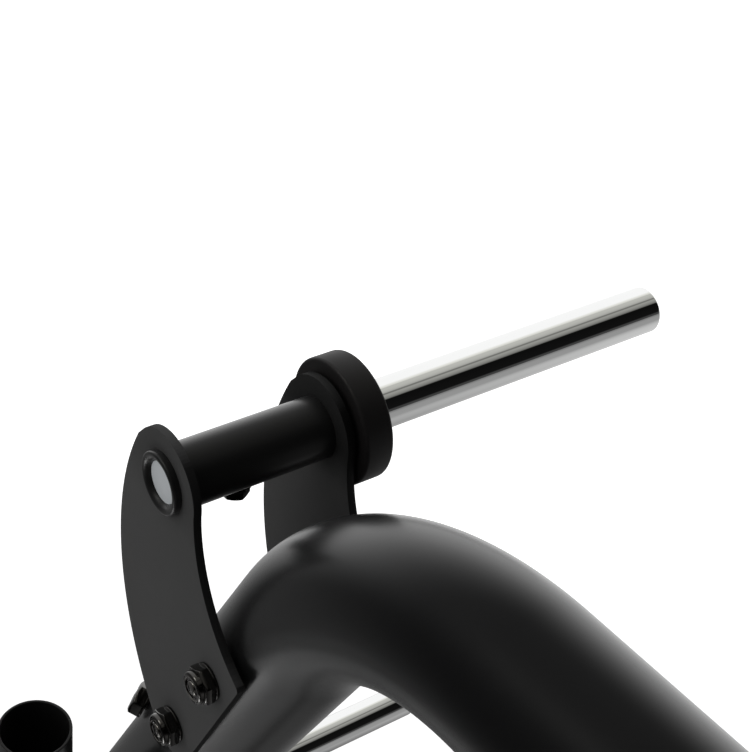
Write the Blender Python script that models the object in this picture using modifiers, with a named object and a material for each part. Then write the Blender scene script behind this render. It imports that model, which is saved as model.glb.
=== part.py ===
"""Squat rack with two bent-tube side frames, storage horns, adjustable bar hooks and safety arms.

Metres, +Z up. X runs across the rack, -Y is the front where the lifter stands, Z = 0 is the floor.
The origin is the middle of the footprint at floor level. Every "_r" piece stands at +X, "_l" at -X.
"""
import math

import bmesh
import bpy
from mathutils import Matrix, Vector

GAP = 0.0003                     # clearance kept between pieces that touch

# Side frame: one big tube that rises from the rear foot, bends over and runs forward to the upright
SIDE_X = 0.554                   # middle plane of a side frame
TUBE_OD = 0.1413
TUBE_WALL = 0.004
LEG_ANGLE = math.radians(64.9)   # slope of the rear leg above the floor
RUN_RISE = math.radians(6.4)     # slope of the forward run above level
BEND_RADIUS = 0.330              # centreline radius of the bend
BEND_HEIGHT = 1.192              # where the straight leg ends and the bend starts
LEG_FOOT_INSET = 0.1225          # from the base's rear end to where the leg's centreline meets the floor
BEND_STEPS = 12
TUBE_SIDES = 32
BORE_SIDES = 16
BORE_STEPS = 8

# Base beams and their rubber feet
BASE_LENGTH = 1.905              # over the end caps
BASE_WIDTH = 0.100
BASE_HEIGHT = 0.060
BASE_WALL = 0.004
CAP_FACE = 0.005
CAP_PLUG = 0.030
FOOT_HEIGHT = 0.012
FOOT_LENGTH = 0.120
FOOT_WIDTH = 0.092
FOOT_INSET = 0.030
FLANGE_LENGTH = 0.230
FLANGE_WIDTH = 0.170
FLANGE_THICK = 0.010

# Uprights
UPRIGHT_INSET = 0.585            # from the base's front end to the upright's middle
UPRIGHT_SIZE = 0.080
UPRIGHT_WALL = 0.004
UPRIGHT_TOP = 1.850
UPRIGHT_FOOT = 0.150
UPRIGHT_FOOT_THICK = 0.008
HOLE_PITCH = 0.075
HOLE_COUNT = 15
HOLE_FIRST_Z = 0.550
HOLE_RADIUS = 0.009
ARCH_FLANGE_WIDTH = 0.170
ARCH_FLANGE_HEIGHT = 0.230
ARCH_FLANGE_THICK = 0.012

# Cross members
CROSS_SIZE = 0.060
CROSS_WALL = 0.003
CROSS_PLATE = 0.006
CROSS_DROP = 0.060               # from the uprights' top down to the top beam's middle
REAR_CROSS_OD = 0.0889
REAR_CROSS_WALL = 0.004
REAR_CROSS_SHARE = 0.47          # of the height from the leg's flange up to the lower horn

# Storage horns; "along" runs down the leg from the start of the bend, "out" is square to it
HORN_OD = 0.0483
HORN_WALL = 0.004
HORN_CHAMFER = 0.003
HORN_END = 0.006
UPPER_HORN_ALONG = -0.0465
UPPER_HORN_OUT = 0.1553
UPPER_HORN_REACH = 0.479         # from the frame's middle plane to the horn's tip
LOWER_HORN_ALONG = 0.9565
LOWER_HORN_OUT = 0.0177
LOWER_HORN_REACH = 0.531
SLEEVE_OD = 0.0603
SLEEVE_ID = 0.0500
SLEEVE_INNER = 0.0905            # inner end of the sleeve, from the frame's middle plane
SLEEVE_LIP_ID = 0.0406
SLEEVE_LIP_LENGTH = 0.008
PLUG_RECESS = 0.005
PLUG_THICK = 0.006
STOPPER_NEAR = 0.0875            # inner face of the stopper disc, from the middle plane
STOPPER_OD = 0.1235
STOPPER_THICK = 0.030
STOPPER_CHAMFER = 0.003

# Crescent cheek plates that carry the upper horn; offsets run from the horn's axis, back and up
CHEEK_THICK = 0.008
CHEEK_TOP_RADIUS = 0.050
CHEEK_BACK_RADIUS = 0.308
CHEEK_BACK_Y = -0.2315
CHEEK_BACK_Z = -0.1094
CHEEK_SHOULDER = math.radians(37)    # where a short straight leaves the top round towards the back
CHEEK_FRONT_RADIUS = 0.1586
CHEEK_FRONT_Y = -0.208
CHEEK_FRONT_Z = 0.0092
CHEEK_CORNER_RADIUS = 0.005
CHEEK_CORNER_ANGLE = math.radians(-62.8)
CHEEK_END_SHIFT = 0.0068         # middle of the end round, from the low bolt towards the back
BOLT_ALONG_1 = 0.0643
BOLT_ALONG_2 = 0.1973
CRUSH_TUBE_RADIUS = 0.017        # tubes welded across the big tube, that the bolts pass through
CRUSH_TUBE_PROUD = 0.004         # how far they stand out of it and hold the cheeks off

# M20 cheek bolts, M16 leg bolt and M12 sleeve screw
BOLT_RADIUS = 0.010
BOLT_CLEARANCE = 0.0005
NUT_FLATS = 0.030
NUT_HEIGHT = 0.018
HEAD_HEIGHT = 0.0125
WASHER_RADIUS = 0.0185
WASHER_THICK = 0.003
BOLT_TAIL = 0.005
LEG_BOLT_ALONG = 0.345
LEG_BOLT_TURN = math.radians(38)
LEG_BOLT_RADIUS = 0.008
LEG_BOLT_FLATS = 0.024
LEG_BOLT_HEAD = 0.010
LEG_BOLT_WASHER = 0.015
LEG_BOLT_LENGTH = 0.030
SCREW_RADIUS = 0.006
SCREW_FLATS = 0.021
SCREW_HEAD = 0.012
SCREW_COLLAR = 0.013
SCREW_FROM_PLANE = -0.010

# Bar holder: an open cup that stands beside the rear leg
HOLDER_OD = 0.0761
HOLDER_WALL = 0.003
HOLDER_TOP = 0.910
HOLDER_HEIGHT = 0.400
HOLDER_FLOOR = 0.004
HOLDER_AHEAD = 0.3415             # from the leg's foot forward to the holder's middle
HOLDER_FROM_PLANE = 0.165
HOLDER_ARM_WIDTH = 0.050
HOLDER_ARM_HEIGHT = 0.090

# Carriages of the bar hooks and the safety arms
RUN_CLEARANCE = 0.0007
CARRIAGE_WALL = 0.006
CARRIAGE_BACK = 0.020
HOOK_STEP = 10                   # hole that the bar hook stands at
HOOK_CARRIAGE_HEIGHT = 0.140
HOOK_WIDTH = 0.060
HOOK_DEPTH = 0.075
HOOK_FLOOR_TOP = -0.020
HOOK_FLOOR_THICK = 0.030
HOOK_LIP_THICK = 0.014
HOOK_LIP_TOP = 0.034
LINER_THICK = 0.008
LINER_TOP = 0.060
SPOT_STEP = 3                    # hole that the safety arm stands at
SPOT_CARRIAGE_HEIGHT = 0.160
SPOT_LENGTH = 0.520
SPOT_WIDTH = 0.060
SPOT_HEIGHT = 0.080
SPOT_TOP = 0.020
SPOT_WALL = 0.005
SPOT_STOP_THICK = 0.012
SPOT_STOP_RISE = 0.055
SPOT_PAD_WIDTH = 0.050
SPOT_PAD_THICK = 0.010
SPOT_PAD_END_GAP = 0.012

# Pull pins, drawn parked so that the carriages are free to slide
PIN_RADIUS = 0.008
PIN_BORE = 0.0086
PIN_BOSS_RADIUS = 0.015
PIN_BOSS_LENGTH = 0.020
PIN_TRAVEL = 0.014
PIN_KNOB_RADIUS = 0.017
PIN_KNOB_LENGTH = 0.030
PIN_TIP_BACK = 0.0005

LEG_FOOT_Y = BASE_LENGTH / 2 - LEG_FOOT_INSET
UPRIGHT_Y = UPRIGHT_INSET - BASE_LENGTH / 2
HOLDER_Y = LEG_FOOT_Y - HOLDER_AHEAD
CROSS_TOP_Z = UPRIGHT_TOP - CROSS_DROP
TUBE_R = TUBE_OD / 2
BASE_BOTTOM = FOOT_HEIGHT + GAP
BASE_TOP = BASE_BOTTOM + BASE_HEIGHT
FLANGE_TOP = BASE_TOP + GAP + FLANGE_THICK
CHEEK_NEAR = TUBE_R + CRUSH_TUBE_PROUD + GAP
CHEEK_FAR = CHEEK_NEAR + CHEEK_THICK
CARRIAGE_IN = UPRIGHT_SIZE / 2 + RUN_CLEARANCE
CARRIAGE_OUT = CARRIAGE_IN + CARRIAGE_WALL

LEG_DOWN = Vector((0, math.cos(LEG_ANGLE), -math.sin(LEG_ANGLE)))
LEG_OUT = Vector((0, math.sin(LEG_ANGLE), math.cos(LEG_ANGLE)))
BEND_START = Vector((0, LEG_FOOT_Y - BEND_HEIGHT / math.tan(LEG_ANGLE), BEND_HEIGHT))

for leftover in list(bpy.data.objects):
    bpy.data.objects.remove(leftover, do_unlink=True)

parts = bpy.data.collections.new("squat_rack")
cutters = bpy.data.collections.new("cutters")
bpy.context.scene.collection.children.link(parts)
bpy.context.scene.collection.children.link(cutters)


def material(name, colour, roughness, metallic):
    mat = bpy.data.materials.new(name)
    mat.use_nodes = True
    shader = mat.node_tree.nodes["Principled BSDF"]
    shader.inputs["Base Color"].default_value = (*colour, 1)
    shader.inputs["Roughness"].default_value = roughness
    shader.inputs["Metallic"].default_value = metallic
    return mat


FRAME = material("frame_black", (0.012, 0.012, 0.013), 0.42, 0.0)
CHEEK = material("cheek_black", (0.035, 0.036, 0.038), 0.55, 0.0)
CHROME = material("chrome", (0.80, 0.81, 0.83), 0.06, 1.0)
PLUG = material("plug_grey", (0.38, 0.42, 0.44), 0.45, 0.0)
STOPPER = material("stopper_black", (0.025, 0.024, 0.026), 0.48, 0.0)
FASTENER = material("fastener_black", (0.020, 0.020, 0.022), 0.25, 0.8)
RUBBER = material("foot_rubber", (0.015, 0.015, 0.015), 0.85, 0.0)
CAP = material("cap_plastic", (0.018, 0.018, 0.019), 0.50, 0.0)
LINER = material("liner_plastic", (0.030, 0.030, 0.032), 0.38, 0.0)
PIN = material("pin_black", (0.022, 0.022, 0.024), 0.30, 0.4)


def link(obj, collection, mat=None):
    collection.objects.link(obj)
    if mat:
        obj.data.materials.append(mat)
    if collection is cutters:
        obj.hide_render = True
        obj.display_type = "WIRE"
    return obj


def smooth(obj, degrees=30):
    obj.data.shade_smooth()
    obj.data.set_sharp_from_angle(angle=math.radians(degrees))
    return obj


def box(name, size, centre, mat=None, collection=parts, bevel=0.0, segments=1):
    """A cuboid with its object origin at its centre."""
    mesh = bpy.data.meshes.new(name)
    bm = bmesh.new()
    bmesh.ops.create_cube(bm, size=1)
    bmesh.ops.scale(bm, vec=Vector(size), verts=bm.verts)
    bm.to_mesh(mesh)
    bm.free()
    obj = link(bpy.data.objects.new(name, mesh), collection, mat)
    obj.location = centre
    if bevel:
        mod = obj.modifiers.new("edges", "BEVEL")
        mod.width = bevel
        mod.segments = segments
        mod.limit_method = "ANGLE"
    return obj


def rod(name, radius, length, centre, axis, sides=24, mat=None, collection=parts):
    """A cylinder or a prism of the given number of sides along any axis."""
    mesh = bpy.data.meshes.new(name)
    bm = bmesh.new()
    bmesh.ops.create_cone(bm, cap_ends=True, segments=sides, radius1=radius, radius2=radius, depth=length)
    bm.to_mesh(mesh)
    bm.free()
    obj = link(bpy.data.objects.new(name, mesh), collection, mat)
    obj.rotation_euler = Vector(axis).to_track_quat("Z", "Y").to_euler()
    obj.location = centre
    if sides > 8:
        smooth(obj)
    return obj


def turned(name, profile, centre, axis, sides, mat, collection=parts):
    """A profile of (radius, height) points turned about its height axis, which is laid along axis."""
    mesh = bpy.data.meshes.new(name)
    bm = bmesh.new()
    verts = [bm.verts.new((radius, 0, height)) for radius, height in profile]
    for first, second in zip(verts, verts[1:]):
        bm.edges.new((first, second))
    if profile[0][0] > 0 and profile[-1][0] > 0:
        bm.edges.new((verts[-1], verts[0]))
    bm.to_mesh(mesh)
    bm.free()
    obj = link(bpy.data.objects.new(name, mesh), collection, mat)
    mod = obj.modifiers.new("turn", "SCREW")
    mod.steps = sides
    mod.render_steps = sides
    mod.use_merge_vertices = True
    mod.merge_threshold = 0.00001
    mod.use_smooth_shade = True
    obj.rotation_euler = Vector(axis).to_track_quat("Z", "Y").to_euler()
    obj.location = centre
    return obj


def outline(name, points, width, x, mat=None, collection=parts):
    """A flat outline of (y, z) points, width thick across X and centred on x."""
    curve = bpy.data.curves.new(name, "CURVE")
    curve.dimensions = "2D"
    curve.fill_mode = "BOTH"
    curve.extrude = width / 2
    spline = curve.splines.new("POLY")
    spline.points.add(len(points) - 1)
    for point, (y, z) in zip(spline.points, points):
        point.co = (y, z, 0, 1)
    spline.use_cyclic_u = True
    obj = bpy.data.objects.new(name, curve)
    collection.objects.link(obj)
    obj.rotation_euler = (math.pi / 2, 0, math.pi / 2)
    obj.location = (x, 0, 0)
    return as_mesh(obj, mat, collection)


def pipe(name, path, radius, sides, mat=None, collection=parts):
    """A round bar that follows a path of points."""
    curve = bpy.data.curves.new(name, "CURVE")
    curve.dimensions = "3D"
    curve.bevel_depth = radius
    curve.bevel_resolution = sides // 2 - 2
    curve.use_fill_caps = True
    spline = curve.splines.new("POLY")
    spline.points.add(len(path) - 1)
    for point, place in zip(spline.points, path):
        point.co = (*place, 1)
    obj = bpy.data.objects.new(name, curve)
    collection.objects.link(obj)
    return smooth(as_mesh(obj, mat, collection))


def as_mesh(obj, mat, collection):
    """Turn a curve or a modified object into a plain welded mesh object of the same name."""
    bpy.context.view_layer.update()
    evaluated = obj.evaluated_get(bpy.context.evaluated_depsgraph_get())
    mesh = bpy.data.meshes.new_from_object(evaluated)
    place = obj.matrix_world.copy()
    name = obj.name
    bpy.data.objects.remove(obj, do_unlink=True)
    bm = bmesh.new()
    bm.from_mesh(mesh)
    bmesh.ops.remove_doubles(bm, verts=bm.verts, dist=0.00001)
    bmesh.ops.recalc_face_normals(bm, faces=bm.faces)
    bm.to_mesh(mesh)
    bm.free()
    mesh.materials.clear()
    solid = link(bpy.data.objects.new(name, mesh), collection, mat)
    solid.matrix_world = place
    return solid


def combine(obj, other, operation):
    mod = obj.modifiers.new(operation.lower(), "BOOLEAN")
    mod.operation = operation
    mod.solver = "EXACT"
    mod.object = other
    return obj


def cut(obj, *others):
    for other in others:
        combine(obj, other, "DIFFERENCE")
    return obj


def join(obj, *others):
    for other in others:
        combine(obj, other, "UNION")
    return obj


def rods_cutter(name, places, radius, length, axis, sides=12):
    """One cutter made of several separate rods; radius is measured to their flats."""
    mesh = bpy.data.meshes.new(name)
    bm = bmesh.new()
    turn = Vector(axis).to_track_quat("Z", "Y").to_matrix().to_4x4()
    radius = radius / math.cos(math.pi / sides)
    for place in places:
        bmesh.ops.create_cone(bm, cap_ends=True, segments=sides, radius1=radius, radius2=radius, depth=length,
                              matrix=Matrix.Translation(place) @ turn)
    bm.to_mesh(mesh)
    bm.free()
    return link(bpy.data.objects.new(name, mesh), cutters)


def on_leg(along, out=0.0, x=0.0):
    """A point given along the leg from the start of the bend and square to its centreline."""
    return BEND_START + LEG_DOWN * along + LEG_OUT * out + Vector((x, 0, 0))


def arc(centre, radius, first, last, steps):
    """Points on a circle in the YZ plane, clockwise from the direction of one point to that of another."""
    start = math.atan2(first[1] - centre[1], first[0] - centre[0])
    turn = (start - math.atan2(last[1] - centre[1], last[0] - centre[0])) % (2 * math.pi)
    if turn > math.pi * 1.2:
        turn -= 2 * math.pi
    angles = [start - turn * step / steps for step in range(steps + 1)]
    return [(centre[0] + radius * math.cos(a), centre[1] + radius * math.sin(a)) for a in angles]


def crossing(centre_a, radius_a, centre_b, radius_b, side):
    """Where two circles cross; side +1 is left of the line from a to b, and -1 is right of it."""
    line = Vector(centre_b) - Vector(centre_a)
    along = (line.length_squared + radius_a ** 2 - radius_b ** 2) / (2 * line.length)
    off = math.sqrt(max(radius_a ** 2 - along ** 2, 0))
    unit = line.normalized()
    return Vector(centre_a) + unit * along + Vector((-unit.y, unit.x)) * off * side


def tube_path(x, steps=BEND_STEPS):
    """Centreline of a side frame's tube, from below the floor to beyond the upright."""
    centre = BEND_START - LEG_OUT * BEND_RADIUS
    path = [BEND_START + LEG_DOWN * (BEND_HEIGHT / math.sin(LEG_ANGLE) + 0.1)]
    turn = LEG_ANGLE - RUN_RISE
    for step in range(steps + 1):
        angle = math.pi / 2 - LEG_ANGLE + turn * step / steps
        path.append(centre + Vector((0, math.cos(angle), math.sin(angle))) * BEND_RADIUS)
    forward = Vector((0, -math.cos(RUN_RISE), math.sin(RUN_RISE)))
    reach = (path[-1].y - UPRIGHT_Y) / math.cos(RUN_RISE)
    path.append(path[-1] + forward * reach)
    return [place + Vector((x, 0, 0)) for place in path]


def run_height(y):
    """Height of the run's centreline at a given y."""
    end = tube_path(0)[-2]
    return end.z + (end.y - y) * math.tan(RUN_RISE)


UPPER_HORN = on_leg(UPPER_HORN_ALONG, UPPER_HORN_OUT)
LOWER_HORN = on_leg(LOWER_HORN_ALONG, LOWER_HORN_OUT)
BOLT_1 = on_leg(BOLT_ALONG_1)
BOLT_2 = on_leg(BOLT_ALONG_2)
ARCH_FLANGE_BACK = UPRIGHT_Y + UPRIGHT_SIZE / 2 + GAP + ARCH_FLANGE_THICK
REAR_CROSS_Z = FLANGE_TOP + REAR_CROSS_SHARE * (LOWER_HORN.z - FLANGE_TOP)


def cheek_outline():
    """Crescent: top round about the sleeve, long convex back, end round about the bolt, hollow front."""
    top = Vector((UPPER_HORN.y, UPPER_HORN.z))
    back = top + Vector((CHEEK_BACK_Y, CHEEK_BACK_Z))
    front = top + Vector((CHEEK_FRONT_Y, CHEEK_FRONT_Z))
    bolt = Vector((BOLT_2.y, BOLT_2.z))
    end = bolt + (bolt - back).normalized() * CHEEK_END_SHIFT
    end_radius = CHEEK_BACK_RADIUS - (end - back).length
    reach = CHEEK_FRONT_RADIUS + CHEEK_CORNER_RADIUS
    corner = front + Vector((math.cos(CHEEK_CORNER_ANGLE), math.sin(CHEEK_CORNER_ANGLE))) * reach

    # A straight leaves the top round square to its radius and meets the back
    shoulder = top + Vector((math.cos(CHEEK_SHOULDER), math.sin(CHEEK_SHOULDER))) * CHEEK_TOP_RADIUS
    downward = Vector((math.sin(CHEEK_SHOULDER), -math.cos(CHEEK_SHOULDER)))
    offset = shoulder - back
    half = offset.dot(downward)
    run = math.sqrt(max(half ** 2 - offset.length_squared + CHEEK_BACK_RADIUS ** 2, 0)) - half
    back_top = shoulder + downward * run

    back_end = back + (end - back).normalized() * CHEEK_BACK_RADIUS
    top_front = crossing(top, CHEEK_TOP_RADIUS, front, CHEEK_FRONT_RADIUS, 1)
    line = corner - end
    slope = math.atan2(line.y, line.x) + math.acos((end_radius - CHEEK_CORNER_RADIUS) / line.length)
    normal = Vector((math.cos(slope), math.sin(slope)))
    points = arc(top, CHEEK_TOP_RADIUS, top_front, shoulder, 10)
    points += arc(back, CHEEK_BACK_RADIUS, back_top, back_end, 10)
    points += arc(end, end_radius, back_end, end + normal, 5)[1:]
    points += arc(corner, CHEEK_CORNER_RADIUS, corner + normal, front, 3)
    points += arc(front, CHEEK_FRONT_RADIUS, corner, top_front, 8)[1:-1]
    return points


def hex_prism(name, flats, height, centre, axis, turn=0.0):
    """A hexagon prism for a Boolean union; flats is its width across flats."""
    obj = rod(name, flats / math.sqrt(3), height, centre, axis, sides=6, collection=cutters)
    obj.rotation_mode = "QUATERNION"
    quat = Vector(axis).to_track_quat("Z", "Y")
    obj.rotation_quaternion = quat @ Matrix.Rotation(turn, 3, "Z").to_quaternion()
    return obj


def side_frame(side, s):
    """Everything fixed on one side; s is +1 for the right side and -1 for the left."""
    plane = s * SIDE_X
    across = Vector((s, 0, 0))

    # Big bent tube
    tube = pipe("arch_tube_" + side, tube_path(plane), TUBE_R, TUBE_SIDES, FRAME)
    bore = pipe("arch_bore_" + side, tube_path(plane, BORE_STEPS), TUBE_R - TUBE_WALL, BORE_SIDES,
                collection=cutters)
    below = box("arch_floor_cut_" + side, (0.6, 0.8, 0.4), (plane, LEG_FOOT_Y, FLANGE_TOP + GAP - 0.2),
                collection=cutters)
    ahead = box("arch_front_cut_" + side, (0.6, 0.4, 0.8),
                (plane, ARCH_FLANGE_BACK + GAP - 0.2, run_height(UPRIGHT_Y)), collection=cutters)
    places = [BOLT_1 + across * SIDE_X, BOLT_2 + across * SIDE_X]
    bolts = rods_cutter("arch_bolt_holes_" + side, places, BOLT_RADIUS + BOLT_CLEARANCE, CHEEK_NEAR * 3, across)
    crush = rods_cutter("arch_crush_tubes_" + side, places, CRUSH_TUBE_RADIUS, (TUBE_R + CRUSH_TUBE_PROUD) * 2,
                        across, sides=20)
    sleeve_hole = rods_cutter("arch_sleeve_hole_" + side, [LOWER_HORN + across * SIDE_X],
                              SLEEVE_OD / 2 + GAP, TUBE_OD * 1.5, across, sides=24)
    normal = LEG_OUT * math.cos(LEG_BOLT_TURN) - across * math.sin(LEG_BOLT_TURN)
    seat = on_leg(LEG_BOLT_ALONG, 0, plane) + normal * TUBE_R
    leg_hole = rods_cutter("arch_leg_hole_" + side, [seat], LEG_BOLT_RADIUS + BOLT_CLEARANCE, 0.04, normal)
    cut(tube, bore)
    join(tube, crush)
    cut(tube, below, ahead, bolts, sleeve_hole, leg_hole)

    # Flanges at both ends of the tube
    box("leg_flange_" + side, (FLANGE_WIDTH, FLANGE_LENGTH, FLANGE_THICK),
        (plane, LEG_FOOT_Y - BASE_TOP / math.tan(LEG_ANGLE), BASE_TOP + GAP + FLANGE_THICK / 2), FRAME, bevel=0.001)
    box("arch_flange_" + side, (ARCH_FLANGE_WIDTH, ARCH_FLANGE_THICK, ARCH_FLANGE_HEIGHT),
        (plane, ARCH_FLANGE_BACK - ARCH_FLANGE_THICK / 2, run_height(ARCH_FLANGE_BACK)), FRAME, bevel=0.001)

    # Base beam, closed at the rear, with a cap in its front end and rubber feet below
    length = BASE_LENGTH - CAP_FACE - GAP
    beam_y = BASE_LENGTH / 2 - length / 2
    beam_z = BASE_BOTTOM + BASE_HEIGHT / 2
    beam = box("base_beam_" + side, (BASE_WIDTH, length, BASE_HEIGHT), (plane, beam_y, beam_z), FRAME, bevel=0.003)
    hollow = box("base_hollow_" + side, (BASE_WIDTH - 2 * BASE_WALL, length, BASE_HEIGHT - 2 * BASE_WALL),
                 (plane, beam_y - BASE_WALL, beam_z), collection=cutters)
    cut(beam, hollow)
    cap_y = -BASE_LENGTH / 2
    cap = box("base_cap_" + side, (BASE_WIDTH, CAP_FACE, BASE_HEIGHT), (plane, cap_y + CAP_FACE / 2, beam_z), CAP,
              bevel=0.002)
    plug = box("base_cap_plug_" + side,
               (BASE_WIDTH - 2 * BASE_WALL - 2 * GAP, CAP_PLUG, BASE_HEIGHT - 2 * BASE_WALL - 2 * GAP),
               (plane, cap_y + CAP_FACE - 0.001 + CAP_PLUG / 2, beam_z), collection=cutters)
    join(cap, plug)
    for name, y in (("foot_front_", -1), ("foot_rear_", 1)):
        place = y * (BASE_LENGTH / 2 - FOOT_INSET - FOOT_LENGTH / 2)
        box(name + side, (FOOT_WIDTH, FOOT_LENGTH, FOOT_HEIGHT), (plane, place, FOOT_HEIGHT / 2), RUBBER, bevel=0.002)

    # Upright with its row of pin holes on the outer side
    bottom = BASE_TOP + GAP
    height = UPRIGHT_TOP - bottom
    upright = box("upright_" + side, (UPRIGHT_SIZE, UPRIGHT_SIZE, height), (plane, UPRIGHT_Y, bottom + height / 2),
                  FRAME, bevel=0.004)
    foot = box("upright_foot_" + side, (UPRIGHT_FOOT, UPRIGHT_FOOT, UPRIGHT_FOOT_THICK),
               (plane, UPRIGHT_Y, bottom + UPRIGHT_FOOT_THICK / 2), collection=cutters)
    inside = UPRIGHT_SIZE - 2 * UPRIGHT_WALL
    hollow = box("upright_hollow_" + side, (inside, inside, height),
                 (plane, UPRIGHT_Y, bottom + height / 2 - UPRIGHT_WALL), collection=cutters)
    wall = plane + s * (UPRIGHT_SIZE - UPRIGHT_WALL) / 2
    holes = rods_cutter("upright_holes_" + side,
                        [Vector((wall, UPRIGHT_Y, HOLE_FIRST_Z + HOLE_PITCH * step)) for step in range(HOLE_COUNT)],
                        HOLE_RADIUS, UPRIGHT_WALL * 3, across)
    join(upright, foot)
    cut(upright, hollow, holes)

    # Cheek plates on both sides of the tube
    for name, near in (("inner_cheek_", -1), ("outer_cheek_", 1)):
        x = plane + s * near * (CHEEK_NEAR + CHEEK_THICK / 2)
        cheek = outline(name + side, cheek_outline(), CHEEK_THICK, x, CHEEK)
        hole = rods_cutter(name + "hole_" + side, [UPPER_HORN + Vector((x, 0, 0))], SLEEVE_OD / 2 + GAP, 0.03, across,
                           sides=28)
        places = [BOLT_1 + Vector((x, 0, 0)), BOLT_2 + Vector((x, 0, 0))]
        bolt_holes = rods_cutter(name + "bolt_holes_" + side, places, BOLT_RADIUS + BOLT_CLEARANCE, 0.03, across)
        cut(cheek, hole, bolt_holes)

    horn_set("upper_", side, s, UPPER_HORN, UPPER_HORN_REACH)
    horn_set("lower_", side, s, LOWER_HORN, LOWER_HORN_REACH)

    # Screw that clamps the upper horn, from below the sleeve
    screw_x = plane + s * SCREW_FROM_PLANE
    screw = rod("sleeve_screw_" + side, SCREW_RADIUS, SLEEVE_OD / 2 - HORN_OD / 2 + 0.004 - GAP,
                (screw_x, UPPER_HORN.y, UPPER_HORN.z - (SLEEVE_OD / 2 + HORN_OD / 2 + 0.004 + GAP) / 2), (0, 0, 1),
                sides=10, mat=FASTENER)
    collar_z = UPPER_HORN.z - SLEEVE_OD / 2 - GAP
    collar = rod("screw_collar_" + side, SCREW_COLLAR, 0.002, (screw_x, UPPER_HORN.y, collar_z - 0.001), (0, 0, 1),
                 sides=16, collection=cutters)
    head = hex_prism("screw_head_" + side, SCREW_FLATS, SCREW_HEAD,
                     (screw_x, UPPER_HORN.y, collar_z - 0.0015 - SCREW_HEAD / 2), (0, 0, 1))
    join(screw, collar, head)

    # Through bolts of the cheeks: nut on the inner side, head on the outer side
    for name, centre in (("cheek_bolt_top_", BOLT_1), ("cheek_bolt_low_", BOLT_2)):
        through_bolt(name + side, centre + Vector((plane, 0, 0)), across)

    # Bolt on the back of the leg
    depth = LEG_BOLT_LENGTH
    bolt = rod("leg_bolt_" + side, LEG_BOLT_RADIUS, depth, seat + normal * (0.004 - depth / 2), normal, sides=12,
               mat=FASTENER)
    washer = rod("leg_washer_" + side, LEG_BOLT_WASHER, 0.0025, seat + normal * (0.0017 + 0.00125), normal, sides=20,
                 collection=cutters)
    head = hex_prism("leg_head_" + side, LEG_BOLT_FLATS, LEG_BOLT_HEAD, seat + normal * (0.0040 + LEG_BOLT_HEAD / 2),
                     normal)
    join(bolt, washer, head)

    # Bar holder with its arm, coped to the leg
    holder_x = s * (SIDE_X - HOLDER_FROM_PLANE)
    radius = HOLDER_OD / 2
    holder = rod("bar_holder_" + side, radius, HOLDER_HEIGHT, (holder_x, HOLDER_Y, HOLDER_TOP - HOLDER_HEIGHT / 2),
                 (0, 0, 1), sides=32, mat=FRAME)
    bore = rod("holder_bore_" + side, radius - HOLDER_WALL, HOLDER_HEIGHT,
               (holder_x, HOLDER_Y, HOLDER_TOP - HOLDER_HEIGHT / 2 + HOLDER_FLOOR), (0, 0, 1), sides=32,
               collection=cutters)
    inner = holder_x + s * (radius - HOLDER_WALL / 2)
    outer = plane - s * TUBE_R * 0.72
    arm_z = (LEG_FOOT_Y - HOLDER_Y) * math.tan(LEG_ANGLE)
    arm = box("holder_arm_" + side, (abs(outer - inner), HOLDER_ARM_WIDTH, HOLDER_ARM_HEIGHT),
              ((inner + outer) / 2, HOLDER_Y, arm_z), collection=cutters)
    coping = rod("holder_cope_" + side, TUBE_R + GAP, 1.0, on_leg(0.5, 0, plane), LEG_DOWN, sides=48,
                 collection=cutters)
    join(holder, arm)
    cut(holder, coping, bore)


def horn_set(level, side, s, centre, reach):
    """Sleeve, chromed horn, its inner plug and the stopper disc, all on one axis across the rack."""
    plane = Vector((s * SIDE_X, centre.y, centre.z))
    across = Vector((s, 0, 0))
    r_out, r_in = SLEEVE_OD / 2, SLEEVE_ID / 2
    start, end = -SLEEVE_INNER, STOPPER_NEAR - GAP
    r_lip = SLEEVE_LIP_ID / 2
    half = (r_out - r_lip) / 2
    lip_end = start + SLEEVE_LIP_LENGTH
    profile = [(r_in, end), (r_out, end)]
    for step in range(5):
        angle = math.pi * step / 4
        profile.append((r_lip + half + half * math.cos(angle), start + half - half * math.sin(angle)))
    profile += [(r_lip, lip_end), (r_in, lip_end)]
    sleeve = turned(level + "sleeve_" + side, profile, plane, across, 28, FRAME)
    if level == "upper_":
        hole = rods_cutter("sleeve_screw_hole_" + side,
                           [plane + across * SCREW_FROM_PLANE - Vector((0, 0, r_out - (r_out - r_in) / 2))],
                           SCREW_RADIUS + BOLT_CLEARANCE, 0.012, (0, 0, 1))
        cut(sleeve, hole)

    h_out, h_in, c = HORN_OD / 2, HORN_OD / 2 - HORN_WALL, HORN_CHAMFER
    first = lip_end + GAP
    profile = [(0, reach), (h_out - c, reach), (h_out, reach - c), (h_out, first), (h_in, first),
               (h_in, reach - HORN_END), (0, reach - HORN_END)]
    turned(level + "horn_" + side, profile, plane, across, 32, CHROME)
    plug = start + PLUG_RECESS
    turned(level + "plug_" + side,
           [(0, plug + PLUG_THICK), (h_in - GAP, plug + PLUG_THICK), (h_in - GAP, plug), (0, plug)], plane, across,
           24, PLUG)

    s_out, c = STOPPER_OD / 2, STOPPER_CHAMFER
    near, far = STOPPER_NEAR, STOPPER_NEAR + STOPPER_THICK
    profile = [(r_in, far), (s_out - c, far), (s_out, far - c), (s_out, near + c), (s_out - c, near), (r_in, near)]
    turned(level + "stopper_" + side, profile, plane, across, 32, STOPPER)


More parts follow.
